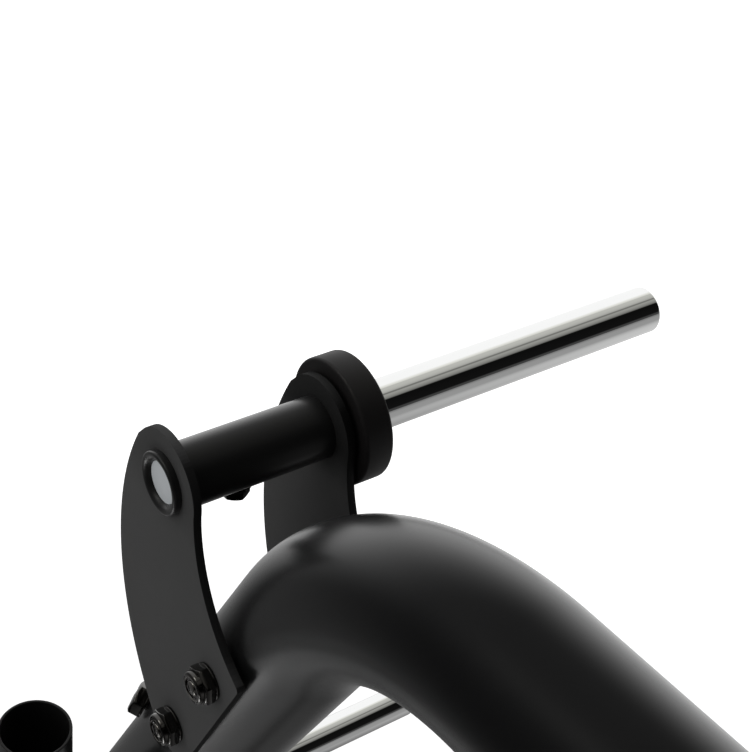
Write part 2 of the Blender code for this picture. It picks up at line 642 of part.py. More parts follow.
def through_bolt(name, centre, across):
    """Bolt through both cheeks and the tube, with washers, head and lock nut."""
    outer = CHEEK_FAR + GAP
    tail = outer + WASHER_THICK + NUT_HEIGHT + BOLT_TAIL
    tip = outer + WASHER_THICK + HEAD_HEIGHT / 2
    bolt = rod(name, BOLT_RADIUS, tail + tip, centre + across * (tip - tail) / 2, across, sides=12, mat=FASTENER)
    pieces = []
    for turn, height in ((-1, NUT_HEIGHT), (1, HEAD_HEIGHT)):
        seat = centre + across * turn * outer
        out = across * turn
        pieces.append(rod(name + "_washer", WASHER_RADIUS, WASHER_THICK, seat + out * WASHER_THICK / 2, out, sides=20,
                          collection=cutters))
        pieces.append(hex_prism(name + "_hex", NUT_FLATS, height,
                                seat + out * (WASHER_THICK - 0.0005 + height / 2), out))
    join(bolt, *pieces)
    return bolt


def carriage(name, centre, height, s):
    """Channel that wraps the front and both sides of the upright, with a boss for the pull pin."""
    depth = CARRIAGE_OUT + CARRIAGE_BACK
    body = box(name, (2 * CARRIAGE_OUT, depth, height), centre + Vector((0, (CARRIAGE_BACK - CARRIAGE_OUT) / 2, 0)),
               FRAME, bevel=0.002)
    slot = box(name + "_slot", (2 * CARRIAGE_IN, depth, height * 1.2),
               centre + Vector((0, (CARRIAGE_BACK - CARRIAGE_OUT) / 2 + CARRIAGE_WALL, 0)), collection=cutters)
    boss = rod(name + "_boss", PIN_BOSS_RADIUS, PIN_BOSS_LENGTH + 0.001,
               centre + Vector((s * (CARRIAGE_OUT + (PIN_BOSS_LENGTH - 0.001) / 2), 0, 0)), (s, 0, 0), sides=20,
               collection=cutters)
    place = centre + Vector((s * (CARRIAGE_OUT + 0.010), 0, 0))
    bore = rod(name + "_bore", PIN_BORE, 0.06, place, (s, 0, 0), sides=14,
               collection=cutters)
    return body, slot, boss, bore


def pull_pin(name, centre, s):
    """Round pin with a knob, parked clear of the upright."""
    tip = CARRIAGE_IN + PIN_TIP_BACK
    knob = CARRIAGE_OUT + PIN_BOSS_LENGTH + PIN_TRAVEL + 0.003
    end = knob + PIN_KNOB_LENGTH
    r, k = PIN_RADIUS, PIN_KNOB_RADIUS
    profile = [(0, end), (k - 0.004, end), (k, end - 0.004), (k, knob + 0.003), (k - 0.003, knob), (r, knob),
               (r, tip + 0.002), (r - 0.002, tip), (0, tip)]
    return turned(name, profile, centre, (s, 0, 0), 14, PIN)


def hook_set(side, s):
    centre = Vector((s * SIDE_X, UPRIGHT_Y, HOLE_FIRST_Z + HOLE_PITCH * HOOK_STEP))
    body, slot, boss, bore = carriage("hook_" + side, centre, HOOK_CARRIAGE_HEIGHT, s)
    y0 = centre.y - CARRIAGE_OUT
    z0 = centre.z + HOOK_FLOOR_TOP
    front = y0 - HOOK_DEPTH
    lip = front + HOOK_LIP_THICK
    low = z0 - HOOK_FLOOR_THICK
    shape = [(y0 + 0.001, low), (front + 0.020, low), (front, low + 0.020), (front, centre.z + HOOK_LIP_TOP - 0.006),
             (front + 0.004, centre.z + HOOK_LIP_TOP), (lip - 0.003, centre.z + HOOK_LIP_TOP),
             (lip, centre.z + HOOK_LIP_TOP - 0.008), (lip, z0), (y0 + 0.001, z0)]
    cradle = outline("hook_cradle_" + side, shape, HOOK_WIDTH, centre.x, collection=cutters)
    join(body, cradle, boss)
    cut(body, slot, bore)
    back = y0 - GAP
    floor = z0 + GAP
    shape = [(back, floor), (back, centre.z + LINER_TOP), (back - LINER_THICK, centre.z + LINER_TOP),
             (back - LINER_THICK, floor + LINER_THICK), (lip + GAP, floor + LINER_THICK), (lip + GAP, floor)]
    outline("hook_liner_" + side, shape, HOOK_WIDTH - 0.004, centre.x, LINER)
    pull_pin("hook_pin_" + side, centre, s)


def spotter_set(side, s):
    centre = Vector((s * SIDE_X, UPRIGHT_Y, HOLE_FIRST_Z + HOLE_PITCH * SPOT_STEP))
    body, slot, boss, bore = carriage("safety_arm_" + side, centre, SPOT_CARRIAGE_HEIGHT, s)
    y0 = centre.y - CARRIAGE_OUT
    top = centre.z + SPOT_TOP
    arm = box("arm_beam_" + side, (SPOT_WIDTH, SPOT_LENGTH, SPOT_HEIGHT),
              (centre.x, y0 + 0.001 - SPOT_LENGTH / 2, top - SPOT_HEIGHT / 2), collection=cutters)
    stop_height = SPOT_HEIGHT + SPOT_STOP_RISE
    stop = box("arm_stop_" + side, (SPOT_WIDTH, SPOT_STOP_THICK, stop_height),
               (centre.x, y0 + 0.001 - SPOT_LENGTH - SPOT_STOP_THICK / 2 + 0.001,
                top - SPOT_HEIGHT + stop_height / 2), collection=cutters)
    under = box("arm_under_" + side, (SPOT_WIDTH - 2 * SPOT_WALL, SPOT_LENGTH - 0.020, SPOT_HEIGHT),
                (centre.x, y0 - 0.010 - (SPOT_LENGTH - 0.020) / 2, top - SPOT_HEIGHT / 2 - SPOT_WALL), collection=cutters)
    join(body, arm, stop, boss)
    cut(body, slot, bore, under)
    pad_length = SPOT_LENGTH - 2 * SPOT_PAD_END_GAP
    box("arm_pad_" + side, (SPOT_PAD_WIDTH, pad_length, SPOT_PAD_THICK),
        (centre.x, y0 - SPOT_LENGTH / 2, top + GAP + SPOT_PAD_THICK / 2), LINER, bevel=0.002)
    pull_pin("arm_pin_" + side, centre, s)


def cross_members():
    # Box beam between the tops of the uprights, with end plates
    reach = SIDE_X - UPRIGHT_SIZE / 2 - GAP
    beam = box("top_cross", (2 * reach, CROSS_SIZE, CROSS_SIZE), (0, UPRIGHT_Y, CROSS_TOP_Z), FRAME, bevel=0.003)
    inner = box("top_cross_hollow", (2 * reach + 0.02, CROSS_SIZE - 2 * CROSS_WALL, CROSS_SIZE - 2 * CROSS_WALL),
                (0, UPRIGHT_Y, CROSS_TOP_Z), collection=cutters)
    plates = [box("top_cross_plate", (CROSS_PLATE, UPRIGHT_SIZE - 0.006, CROSS_SIZE + 0.040),
                  (s * (reach - CROSS_PLATE / 2), UPRIGHT_Y, CROSS_TOP_Z), collection=cutters) for s in (-1, 1)]
    join(beam, *plates)
    cut(beam, inner)

    # Round tube between the rear legs, coped to them at both ends
    y = LEG_FOOT_Y - REAR_CROSS_Z / math.tan(LEG_ANGLE)
    tube = rod("rear_cross", REAR_CROSS_OD / 2, 2 * (SIDE_X - 0.030), (0, y, REAR_CROSS_Z), (1, 0, 0), sides=28,
               mat=FRAME)
    bore = rod("rear_cross_bore", REAR_CROSS_OD / 2 - REAR_CROSS_WALL, 2 * SIDE_X, (0, y, REAR_CROSS_Z), (1, 0, 0),
               sides=16, collection=cutters)
    copes = [rod("rear_cope", TUBE_R + GAP, 0.8, on_leg(1.0, 0, s * SIDE_X), LEG_DOWN, sides=32, collection=cutters)
             for s in (-1, 1)]
    cut(tube, bore, *copes)


for side_name, sign in (("r", 1), ("l", -1)):
    side_frame(side_name, sign)
    hook_set(side_name, sign)
    spotter_set(side_name, sign)
cross_members()
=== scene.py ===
"""Squat rack with bent-tube side frames: fine shapes, finishes, floor, light and camera."""
import math

import bmesh
import bpy
from mathutils import Matrix, Vector


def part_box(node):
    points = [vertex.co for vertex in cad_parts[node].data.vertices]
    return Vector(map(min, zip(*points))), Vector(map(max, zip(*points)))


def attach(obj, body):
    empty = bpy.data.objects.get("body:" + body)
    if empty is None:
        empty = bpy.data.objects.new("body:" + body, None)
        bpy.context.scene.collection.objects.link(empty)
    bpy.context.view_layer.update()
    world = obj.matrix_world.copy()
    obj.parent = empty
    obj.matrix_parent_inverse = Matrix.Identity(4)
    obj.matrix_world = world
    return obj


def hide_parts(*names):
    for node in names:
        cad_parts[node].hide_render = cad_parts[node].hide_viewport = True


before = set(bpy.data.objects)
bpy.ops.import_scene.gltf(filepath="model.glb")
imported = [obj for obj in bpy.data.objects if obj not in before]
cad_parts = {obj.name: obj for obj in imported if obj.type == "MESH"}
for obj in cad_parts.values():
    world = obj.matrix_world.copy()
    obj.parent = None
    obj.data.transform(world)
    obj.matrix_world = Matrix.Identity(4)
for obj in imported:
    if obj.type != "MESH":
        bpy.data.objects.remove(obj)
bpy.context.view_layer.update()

# Sizes of the side frame as the solids have them, in metres
SIDE_X = 0.554
TUBE_RADIUS = 0.07065
LEG_ANGLE = math.radians(64.9)
RUN_RISE = math.radians(6.4)
BEND_RADIUS = 0.330
BEND_HEIGHT = 1.192
LEG_FOOT_Y = 0.8300
CHEEK_NEAR = 0.0750
CHEEK_THICK = 0.008
HORN_RADIUS = 0.02415
HORN_WALL = 0.004
SLEEVE_RADIUS = 0.03015
SLEEVE_BORE = 0.0250
STOPPER_RADIUS = 0.06175
HOLDER_RADIUS = 0.03805
HOLDER_WALL = 0.003
HOLDER_FLOOR = 0.004
HOLDER_ARM_WIDTH = 0.050
HOLDER_ARM_HEIGHT = 0.090
FOOT_PLATE = 0.008
SEAT_GAP = 0.0003

# Places on the leg: along it from the start of the bend, and out from its axis
SLEEVE_ALONG, SLEEVE_OUT = -0.0465, 0.1553
TOP_BOLT_ALONG = 0.0643
LOW_BOLT_ALONG = 0.1973
LEG_BOLT_ALONG = 0.350
LEG_BOLT_TURN = math.radians(38)

# Outline of the cheek plate: radii of its arcs, arc centres as (y, z) from the sleeve's axis, how
# far the end's centre lies past the low bolt, and the angles of its shoulder and its corner
TOP_ROUND = 0.050
BACK_ROUND = 0.308
HOLLOW_ROUND = 0.1586
CORNER_ROUND = 0.005
BACK_CENTRE = Vector((-0.2315, -0.1094))
HOLLOW_CENTRE = Vector((-0.208, 0.0092))
END_SHIFT = 0.0068
SHOULDER_TURN = math.radians(37)
CORNER_TURN = math.radians(-62.8)

# Lengths between the tube's rows of points: up the leg from below the floor, and along the run.
# The tube is then cut to its foot and to its front end.
LEG_ROWS = (0.4, 0.4, 0.4, 0.25)
RUN_ROWS = (0.2, 0.3)

# Small shapes that the scene adds or draws finer: rounded mouths and tips, the holder's arm,
# hexagons across flats, washers as (radius, bore, thickness), shanks as (radius, length), the
# knob's grooves and the weld beads
MOUTH_RADIUS = 0.0246
LIP_RADIUS = 0.0203
MOUTH_DEPTH = 0.0050
LIP_DEPTH = 0.008
MOUTH_ROUND = 0.0026
PLATE_LAP = 0.001
HORN_NOSE = 0.0045
HORN_HOLLOW = 0.08
HORN_CHAMFER = 0.0005
PLUG_GAP = 0.0001
STOPPER_ROUND = 0.0035
HOLDER_ARM_START = 0.0365
HOLDER_ARM_LAP = 0.006
NUT_FLATS = 0.0335
NUT_HEIGHT = 0.0158
HEAD_HEIGHT = 0.0125
NUT_WASHER = (0.0188, 0.0100, 0.0028)
NUT_SUNK = 0.0001
HEAD_SUNK = 0.0002
SHANK_RADIUS = 0.0086
SCREW_FLATS = 0.0245
SCREW_HEAD_HEIGHT = 0.012
SCREW_WASHER = (0.0155, 0.0060, 0.002)
SCREW_SHANK = (0.006, 0.007)
LEG_BOLT_FLATS = 0.0320
LEG_BOLT_WASHER = (0.0185, 0.0080, 0.0028)
LEG_BOLT_SHANK = (0.008, 0.022)
LEG_BOLT_RISE = 0.0016
FLANGE_BOLT_FLATS = 0.0170
FLANGE_HEAD_HEIGHT = 0.0075
FLANGE_WASHER = (0.0115, 0.0060, 0.0016)
KNOB_LENGTH = 0.030
KNOB_GROOVES = 6
GROOVE_PITCH = 0.0034
GROOVE_DEPTH = 0.0008
PIN_RADIUS = 0.008
PIN_TIP_RADIUS = 0.006
TUBE_BEAD = 0.0042
TUBE_RIPPLES = 46
SLEEVE_BEAD = 0.0032
SLEEVE_RIPPLES = 26
BEAD_RISE = 0.0010
FOOT_BEAD = (0.0885, 0.0885, 0.0045)
FOOT_BEAD_RISE = 0.0018
FOOT_BEAD_ROUND = 0.0021

# Bolts on the flanges and foot plates, from the middle: places across, and places the long way
LEG_FLANGE_BOLTS = ((-0.032, 0.032), (-0.102, 0.099))
ARCH_FLANGE_BOLTS = ((-0.026, 0.026), (-0.099, 0.099))
FOOT_PLATE_BOLTS = ((-0.030, 0.030), (-0.060, 0.060))

# Points nearer to each other than this become one, in new shapes and in copies of the solids
MERGE = 0.000005
SOLID_MERGE = 0.00002

# Painted shade: a cheek plate's colour darkens from below its sleeve's axis to above it, and on its
# cut edges that face front or down. A surface counts as one of its flat faces, or as facing up, by
# how far its normal lies along X, or along Z.
SHADE_STARTS = 0.050
SHADE_FULL = 0.005
FACE_SHARE = (0.50, 0.95)
UPWARD_SHARE = (0.80, 1.00)
# Share of colour left on cut edges in their painted shade
EDGE_SHADE = 0.20

# The floor whitens for the eye between two distances from the rack's middle: from one strength of
# its own light to another
FLOOR_FADE = (1.2, 2.6)
FLOOR_LIFT = (0.60, 1.0)

# Light for shiny faces: its overall gain, and its level by angle round the X axis, with 0 to the
# back of the rack, 90 overhead and 180 to the front
SHINE_GAIN = 1.6
SHINE_LEVELS = (
    (-180, 0.18), (-170, 0.30), (-150, 0.32), (-135, 0.50), (-112, 0.66), (-90, 0.76), (-60, 0.86),
    (-47, 1.00), (50, 1.00), (60, 0.80), (66, 0.68), (68, 0.50), (74, 0.52), (86, 0.46), (92, 0.38),
    (95, 0.17), (99, 0.17), (102, 0.34), (110, 0.28), (119, 0.18), (123, 0.004), (168, 0.006),
    (171, 0.05))

# Camera as solved from the photograph
PHOTO_WIDTH = 752.0
FOCAL_PIXELS = 1700.0
SENSOR_WIDTH = 36.0
CAMERA_PLACE = Vector((-0.084, -0.5375, 2.317))
CAMERA_LOOK = Vector((0.4967, 0.5977, -0.6293))
CAMERA_RIGHT = Vector((0.819, -0.562, 0.113))

LEG_DOWN = Vector((0, math.cos(LEG_ANGLE), -math.sin(LEG_ANGLE)))
LEG_OUT = Vector((0, math.sin(LEG_ANGLE), math.cos(LEG_ANGLE)))
BEND_START = Vector((SIDE_X, LEG_FOOT_Y - BEND_HEIGHT / math.tan(LEG_ANGLE), BEND_HEIGHT))


def on_leg(along, out=0.0, across=0.0):
    """A point on the right side frame, along its leg from the start of the bend."""
    return BEND_START + LEG_DOWN * along + LEG_OUT * out + Vector((across, 0, 0))


UPPER_SLEEVE = on_leg(SLEEVE_ALONG, SLEEVE_OUT)


# Helpers for node trees

def feed(tree, socket, value):
    """Join a socket to the output that feeds it, or give it a constant."""
    if isinstance(value, bpy.types.NodeSocket):
        tree.links.new(value, socket)
    else:
        socket.default_value = value


def calc(tree, operation, *values):
    """A Math node's result for one to three values."""
    node = tree.nodes.new("ShaderNodeMath")
    node.operation = operation
    for socket, value in zip(node.inputs, values):
        feed(tree, socket, value)
    return node.outputs[0]


def ramp(tree, value, low, high, start=0.0, stop=1.0, shape="SMOOTHSTEP"):
    """Turn low to high into start to stop, held beyond both ends."""
    node = tree.nodes.new("ShaderNodeMapRange")
    node.interpolation_type = shape
    feed(tree, node.inputs["Value"], value)
    limits = {"From Min": low, "From Max": high, "To Min": start, "To Max": stop}
    for name, number in limits.items():
        node.inputs[name].default_value = number
    return node.outputs["Result"]


def noise(tree, place, scale, detail, roughness=0.5):
    """Cloudy noise, from 0 to 1."""
    node = tree.nodes.new("ShaderNodeTexNoise")
    feed(tree, node.inputs["Vector"], place)
    feed(tree, node.inputs["Scale"], scale)
    node.inputs["Detail"].default_value = detail
    node.inputs["Roughness"].default_value = roughness
    return node.outputs["Fac"]


def split(tree, vector):
    """The three parts of a vector."""
    node = tree.nodes.new("ShaderNodeSeparateXYZ")
    feed(tree, node.inputs["Vector"], vector)
    return node.outputs


def toward(tree, direction, aim):
    """How nearly a direction points along aim: 1 where it does."""
    node = tree.nodes.new("ShaderNodeVectorMath")
    node.operation = "DOT_PRODUCT"
    feed(tree, node.inputs[0], direction)
    node.inputs[1].default_value = Vector(aim).normalized()
    return node.outputs["Value"]


def blend(tree, factor, first, second):
    """Two shaders mixed by a factor."""
    node = tree.nodes.new("ShaderNodeMixShader")
    for socket, value in zip(node.inputs, (factor, first, second)):
        feed(tree, socket, value)
    return node.outputs[0]


def new_group(name, inputs, outputs):
    """An empty node group, its inputs and its outputs; sockets are given as (name, kind)."""
    group = bpy.data.node_groups.new(name, "ShaderNodeTree")
    for way, sockets in (("INPUT", inputs), ("OUTPUT", outputs)):
        for label, kind in sockets:
            group.interface.new_socket(label, in_out=way, socket_type="NodeSocket" + kind)
    given = group.nodes.new("NodeGroupInput")
    out = group.nodes.new("NodeGroupOutput")
    return group, given.outputs, out.inputs


def use_group(tree, group, values):
    """A node group in a material, fed with values by the names of its inputs."""
    node = tree.nodes.new("ShaderNodeGroup")
    node.node_tree = group
    for name, value in values.items():
        feed(tree, node.inputs[name], value)
    return node.outputs


# Finishes

def coat_grain_group():
    """Orange-peel grain of a sprayed or moulded skin: varied roughness, and a height for bump."""
    group, given, out = new_group(
        "coat_grain",
        (("Place", "Vector"), ("Grain Size", "Float"), ("Roughness", "Float"),
         ("Roughness Spread", "Float")),
        (("Roughness", "Float"), ("Height", "Float")))
    scale = calc(group, "DIVIDE", 1.0, given["Grain Size"])
    feed(group, out["Height"], noise(group, given["Place"], scale, 2.5, 0.55))
    swing = calc(group, "SUBTRACT", noise(group, given["Place"], 9.0, 4.0), 0.5)
    feed(group, out["Roughness"],
         calc(group, "MULTIPLY_ADD", swing, given["Roughness Spread"], given["Roughness"]))
    return group


def handling_group():
    """Slow changes of tone and a few paler rubbed patches, as handling leaves them."""
    group, given, out = new_group(
        "handling_marks",
        (("Place", "Vector"), ("Colour", "Color"), ("Rubbed Colour", "Color"), ("Amount", "Float")),
        (("Colour", "Color"),))
    patches = ramp(group, noise(group, given["Place"], 22.0, 6.0, 0.62), 0.50, 0.78, shape="LINEAR")
    mix = group.nodes.new("ShaderNodeMix")
    mix.data_type = "RGBA"
    feed(group, mix.inputs["Factor"], calc(group, "MULTIPLY", patches, given["Amount"]))
    feed(group, mix.inputs["A"], given["Colour"])
    feed(group, mix.inputs["B"], given["Rubbed Colour"])
    feed(group, out["Colour"], mix.outputs["Result"])
    return group


COAT_GRAIN = coat_grain_group()
HANDLING = handling_group()


def skin(name, colour, rubbed, roughness, spread, grain, depth, metallic=0.0, amount=0.3,
         specular=0.5, gloss=None, varnish=0.0):
    """A finish with its grain in bump, varied roughness, and handling marks in its colour.

    gloss is (start, full): the facing where a clear gloss begins to show, and where it is full."""
    mat = bpy.data.materials.new(name)
    mat.use_nodes = True
    tree = mat.node_tree
    shader = tree.nodes["Principled BSDF"]
    shader.inputs["Metallic"].default_value = metallic
    shader.inputs["Specular IOR Level"].default_value = specular
    shader.inputs["Coat Weight"].default_value = varnish
    shader.inputs["Coat Roughness"].default_value = 0.26 if gloss else 0.05
    if gloss:
        slant = tree.nodes.new("ShaderNodeLayerWeight")
        slant.inputs["Blend"].default_value = 0.5
        feed(tree, shader.inputs["Coat Weight"], ramp(tree, slant.outputs["Facing"], *gloss))
    place = tree.nodes.new("ShaderNodeTexCoord").outputs["Object"]
    surface = use_group(tree, COAT_GRAIN, {"Place": place, "Grain Size": grain,
                                           "Roughness": roughness, "Roughness Spread": spread})
    marks = use_group(tree, HANDLING, {"Place": place, "Colour": (*colour, 1),
                                       "Rubbed Colour": (*rubbed, 1), "Amount": amount})
    feed(tree, shader.inputs["Roughness"], surface["Roughness"])
    feed(tree, shader.inputs["Base Color"], marks["Colour"])
    bump = tree.nodes.new("ShaderNodeBump")
    bump.inputs["Strength"].default_value = 1.0
    bump.inputs["Distance"].default_value = depth
    feed(tree, bump.inputs["Height"], surface["Height"])
    feed(tree, shader.inputs["Normal"], bump.outputs["Normal"])
    return mat


def dim_colour(tree, share):
    """Scale the base colour of a finish by a share; the cheek plates' painted shade is made with it.
    """
    base = tree.nodes["Principled BSDF"].inputs["Base Color"]
    dimmed = tree.nodes.new("ShaderNodeVectorMath")
    dimmed.operation = "SCALE"
    feed(tree, dimmed.inputs[0], base.links[0].from_socket)
    feed(tree, dimmed.inputs["Scale"], share)
    feed(tree, base, dimmed.outputs["Vector"])


def shaded_cheek_coat(name, share):
    """Dull dark grey with painted shade: darker by share from below the sleeve up, and on cut edges
    not facing up.
    """
    mat = skin(name, (0.074, 0.074, 0.074), (0.086, 0.086, 0.086), 0.62, 0.06, 0.0012, 0.00006,
               specular=0.08)
    tree = mat.node_tree
    # Painted shade, deepest above the sleeve's axis
    height = split(tree, tree.nodes.new("ShaderNodeTexCoord").outputs["Object"])["Z"]
    dim_colour(tree, ramp(tree, height, UPPER_SLEEVE.z - SHADE_STARTS, UPPER_SLEEVE.z + SHADE_FULL,
                          1.0, share))
    # Painted shade on cut edges that face front or down; flat faces and edges facing up keep their
    # colour
    normal = split(tree, tree.nodes.new("ShaderNodeNewGeometry").outputs["True Normal"])
    sideways = calc(tree, "ABSOLUTE", normal["X"])
    dim_colour(tree, calc(tree, "MAXIMUM",
                          ramp(tree, sideways, *FACE_SHARE, EDGE_SHADE, 1.0, "LINEAR"),
                          ramp(tree, normal["Z"], *UPWARD_SHARE, EDGE_SHADE, 1.0, "LINEAR")))
    return mat


# Each finish: colour, rubbed colour, roughness and its spread, size and depth of its grain
FRAME_COAT = skin("frame_coat", (0.0065, 0.0065, 0.0068), (0.010, 0.010, 0.0105), 0.36, 0.05,
                  0.0016, 0.00003, specular=0.075, gloss=(0.25, 0.61))
BEAM_COAT = skin("beam_coat", (0.018, 0.018, 0.0185), (0.026, 0.026, 0.0265), 0.42, 0.08,
                 0.0011, 0.00007)
# Cheek plates with painted shade: the far, outer plate's is much deeper above its sleeve
INNER_CHEEK_SHADED_COAT = shaded_cheek_coat("inner_cheek_coat", 0.80)
OUTER_CHEEK_SHADED_COAT = shaded_cheek_coat("outer_cheek_coat", 0.24)
CHROME = skin("horn_chrome", (0.92, 0.925, 0.92), (0.88, 0.885, 0.88), 0.022, 0.02,
              0.004, 0.000002, metallic=1.0)
PLUG_GREY = skin("plug_grey", (0.60, 0.63, 0.65), (0.64, 0.66, 0.68), 0.50, 0.06, 0.0008, 0.00003)
STOPPER_COAT = skin("stopper_coat", (0.0125, 0.0115, 0.0115), (0.018, 0.0165, 0.0165), 0.44, 0.06,
                    0.0014, 0.00004, specular=0.16)
FASTENER = skin("black_zinc", (0.036, 0.033, 0.030), (0.066, 0.060, 0.052), 0.11, 0.08,
                0.0030, 0.00006, metallic=1.0, varnish=0.8)
BOLT_END = skin("bolt_end_steel", (0.17, 0.16, 0.145), (0.26, 0.245, 0.22), 0.16, 0.10,
                0.0025, 0.00005, metallic=1.0, varnish=1.0)
SLEEVE_COAT = skin("sleeve_coat", (0.0090, 0.0088, 0.0088), (0.0125, 0.0120, 0.0120), 0.40, 0.05,
                   0.0014, 0.00003, specular=0.22, gloss=(0.30, 0.62))
RUBBER = skin("foot_rubber", (0.015, 0.015, 0.015), (0.040, 0.039, 0.038), 0.82, 0.08,
              0.0012, 0.00010, amount=0.5)
CAP_PLASTIC = skin("cap_plastic", (0.018, 0.018, 0.019), (0.030, 0.030, 0.031), 0.48, 0.06,
                   0.0008, 0.00006)
LINER = skin("liner_plastic", (0.030, 0.030, 0.032), (0.070, 0.069, 0.068), 0.36, 0.14,
             0.0025, 0.00005, amount=0.6)
PIN_COAT = skin("pin_coat", (0.022, 0.022, 0.024), (0.050, 0.050, 0.052), 0.30, 0.10,
                0.0012, 0.00003)
WELD = skin("weld_bead", (0.018, 0.018, 0.019), (0.030, 0.030, 0.031), 0.42, 0.10,
            0.0030, 0.00030)


# Making pieces

def to_object(name, bm, finish, sharp):
    """A finished mesh in the scene, smooth but for edges sharper than the angle."""
    bmesh.ops.remove_doubles(bm, verts=bm.verts, dist=MERGE)
    bmesh.ops.recalc_face_normals(bm, faces=bm.faces)
    mesh = bpy.data.meshes.new(name)
    bm.to_mesh(mesh)
    bm.free()
    mesh.shade_smooth()
    mesh.set_sharp_from_angle(angle=math.radians(sharp))
    mesh.materials.append(finish)
    obj = bpy.data.objects.new(name, mesh)
    bpy.context.scene.collection.objects.link(obj)
    return obj


def place_piece(name, bm, finish, body="frame", nodes=(), sharp=32):
    """A piece that rides on a body and takes the place of its nodes."""
    obj = to_object(name, bm, finish, sharp)
    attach(obj, body)
    if nodes:
        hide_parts(*nodes)
    return obj


def both_sides(name, bm, finish, bodies=("frame", "frame"), nodes=(), sharp=32):
    """The piece at +X and its mirror image at -X."""
    twin = bm.copy()
    bmesh.ops.scale(twin, vec=(-1, 1, 1), verts=twin.verts)
    for side, mesh, body in (("r", bm, bodies[0]), ("l", twin, bodies[1])):
        place_piece(f"{name}_{side}", mesh, finish, body,
                    [f"{node}_{side}" for node in nodes], sharp)


def soften(bm, width, segments=3, angle=35):
    """Round over every edge that is sharper than the angle."""
    bmesh.ops.remove_doubles(bm, verts=bm.verts, dist=MERGE)
    edges = [e for e in bm.edges
             if len(e.link_faces) == 2 and e.calc_face_angle(0) > math.radians(angle)]
    bmesh.ops.bevel(bm, geom=edges, offset=width, segments=segments, affect="EDGES", profile=0.5,
                    material=-1, clamp_overlap=True, offset_type="OFFSET")


def spun(profile, steps=96):
    """A ring or disc: a profile of (radius, height) corners, turned about the Z axis."""
    bm = bmesh.new()
    verts = [bm.verts.new((radius, 0, height)) for radius, height in profile]
    edges = [bm.edges.new(pair) for pair in zip(verts, verts[1:])]
    if profile[0][0] > 0 and profile[-1][0] > 0:
        edges.append(bm.edges.new((verts[-1], verts[0])))
    bmesh.ops.spin(bm, geom=verts + edges, cent=(0, 0, 0), axis=(0, 0, 1), dvec=(0, 0, 0),
                   angle=2 * math.pi, steps=steps, use_merge=True, use_duplicate=False)
    bmesh.ops.remove_doubles(bm, verts=bm.verts, dist=MERGE)
    bmesh.ops.recalc_face_normals(bm, faces=bm.faces)
    return bm


def rod(radius, top, bottom, steps):
    """Plain round rod along Z."""
    return spun([(0, top), (radius, top), (radius, bottom), (0, bottom)], steps)


def lay(bm, centre, axis):
    """Turn a piece made about Z so that it lies along axis at centre."""
    turn = Vector(axis).to_track_quat("Z", "Y").to_matrix()
    bmesh.ops.transform(bm, matrix=Matrix.Translation(centre) @ turn.to_4x4(), verts=bm.verts)
    return bm


def add(bm, other):
    """Put another piece's faces into bm."""
    mesh = bpy.data.meshes.new("part_of_piece")
    other.to_mesh(mesh)
    other.free()
    bm.from_mesh(mesh)
    bpy.data.meshes.remove(mesh)
    return bm


def stack(pieces):
    """Join several shapes, each given with its height, into one mesh along Z."""
    bm = bmesh.new()
    for shape, height in pieces:
        bmesh.ops.translate(shape, vec=(0, 0, height), verts=shape.verts)
        add(bm, shape)
    return bm


def block(size, centre, width, segments=3):
    """A block with rounded edges."""
    bm = bmesh.new()
    bmesh.ops.create_cube(bm, size=1)
    bmesh.ops.scale(bm, vec=Vector(size), verts=bm.verts)
    soften(bm, width, segments)
    bmesh.ops.translate(bm, vec=centre, verts=bm.verts)
    return bm


def only(geom, kind):
    """The points, or the edges, in the result of a bmesh step."""
    return [g for g in geom if isinstance(g, kind)]


def edges_of(verts):
    """Each edge of these points, once."""
    return list(dict.fromkeys(e for v in verts for e in v.link_edges))


def carry_on(bm, edges, step):
    """Carry an open ring of edges on by a step, and give the new ring."""
    grown = bmesh.ops.extrude_edge_only(bm, edges=edges)["geom"]
    bmesh.ops.translate(bm, vec=step, verts=only(grown, bmesh.types.BMVert))
    return only(grown, bmesh.types.BMEdge)


def axis_of(node):
    """Where the line along X through the middle of a solid crosses the rack's middle plane."""
    lo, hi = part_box(node)
    return Vector((0, (lo.y + hi.y) / 2, (lo.z + hi.z) / 2))


# Bent tube

def bent_tube():
    """Big round tube: up the leg, round the bend and forward to the upright."""
    bm = bmesh.new()
    turn = LEG_DOWN.to_track_quat("Z", "X").to_matrix().to_4x4()
    ring = bmesh.ops.create_circle(bm, cap_ends=False, segments=112, radius=TUBE_RADIUS,
                                   matrix=Matrix.Translation(on_leg(sum(LEG_ROWS))) @ turn)
    edges = edges_of(ring["verts"])
    for length in LEG_ROWS:
        edges = carry_on(bm, edges, -LEG_DOWN * length)
    verts = list(dict.fromkeys(v for e in edges for v in e.verts))
    bent = bmesh.ops.spin(bm, geom=edges + verts, cent=BEND_START - LEG_OUT * BEND_RADIUS,
                          axis=(1, 0, 0), dvec=(0, 0, 0), angle=LEG_ANGLE - RUN_RISE, steps=44,
                          use_merge=False)
    edges = only(bent["geom_last"], bmesh.types.BMEdge)
    forward = Vector((0, -math.cos(RUN_RISE), math.sin(RUN_RISE)))
    for length in RUN_ROWS:
        edges = carry_on(bm, edges, forward * length)
    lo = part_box("arch_tube_r")[0]
    for point, normal in ((Vector((0, 0, lo.z)), Vector((0, 0, -1))),
                          (Vector((0, lo.y, 0)), Vector((0, -1, 0)))):
        bmesh.ops.bisect_plane(bm, geom=bm.verts[:] + bm.edges[:] + bm.faces[:], plane_co=point,
                               plane_no=normal, clear_outer=True)
        rim = [e for e in bm.edges
               if e.is_boundary and all(abs((v.co - point).dot(normal)) < 1e-5 for v in e.verts)]
        bmesh.ops.edgeloop_fill(bm, edges=rim)
    return bm


both_sides("bent_tube", bent_tube(), FRAME_COAT, nodes=["arch_tube"], sharp=40)


# Crescent cheek plates

def heading(angle):
    """Step of length 1 in the (y, z) plane, at an angle from Y."""
    return Vector((math.cos(angle), math.sin(angle)))


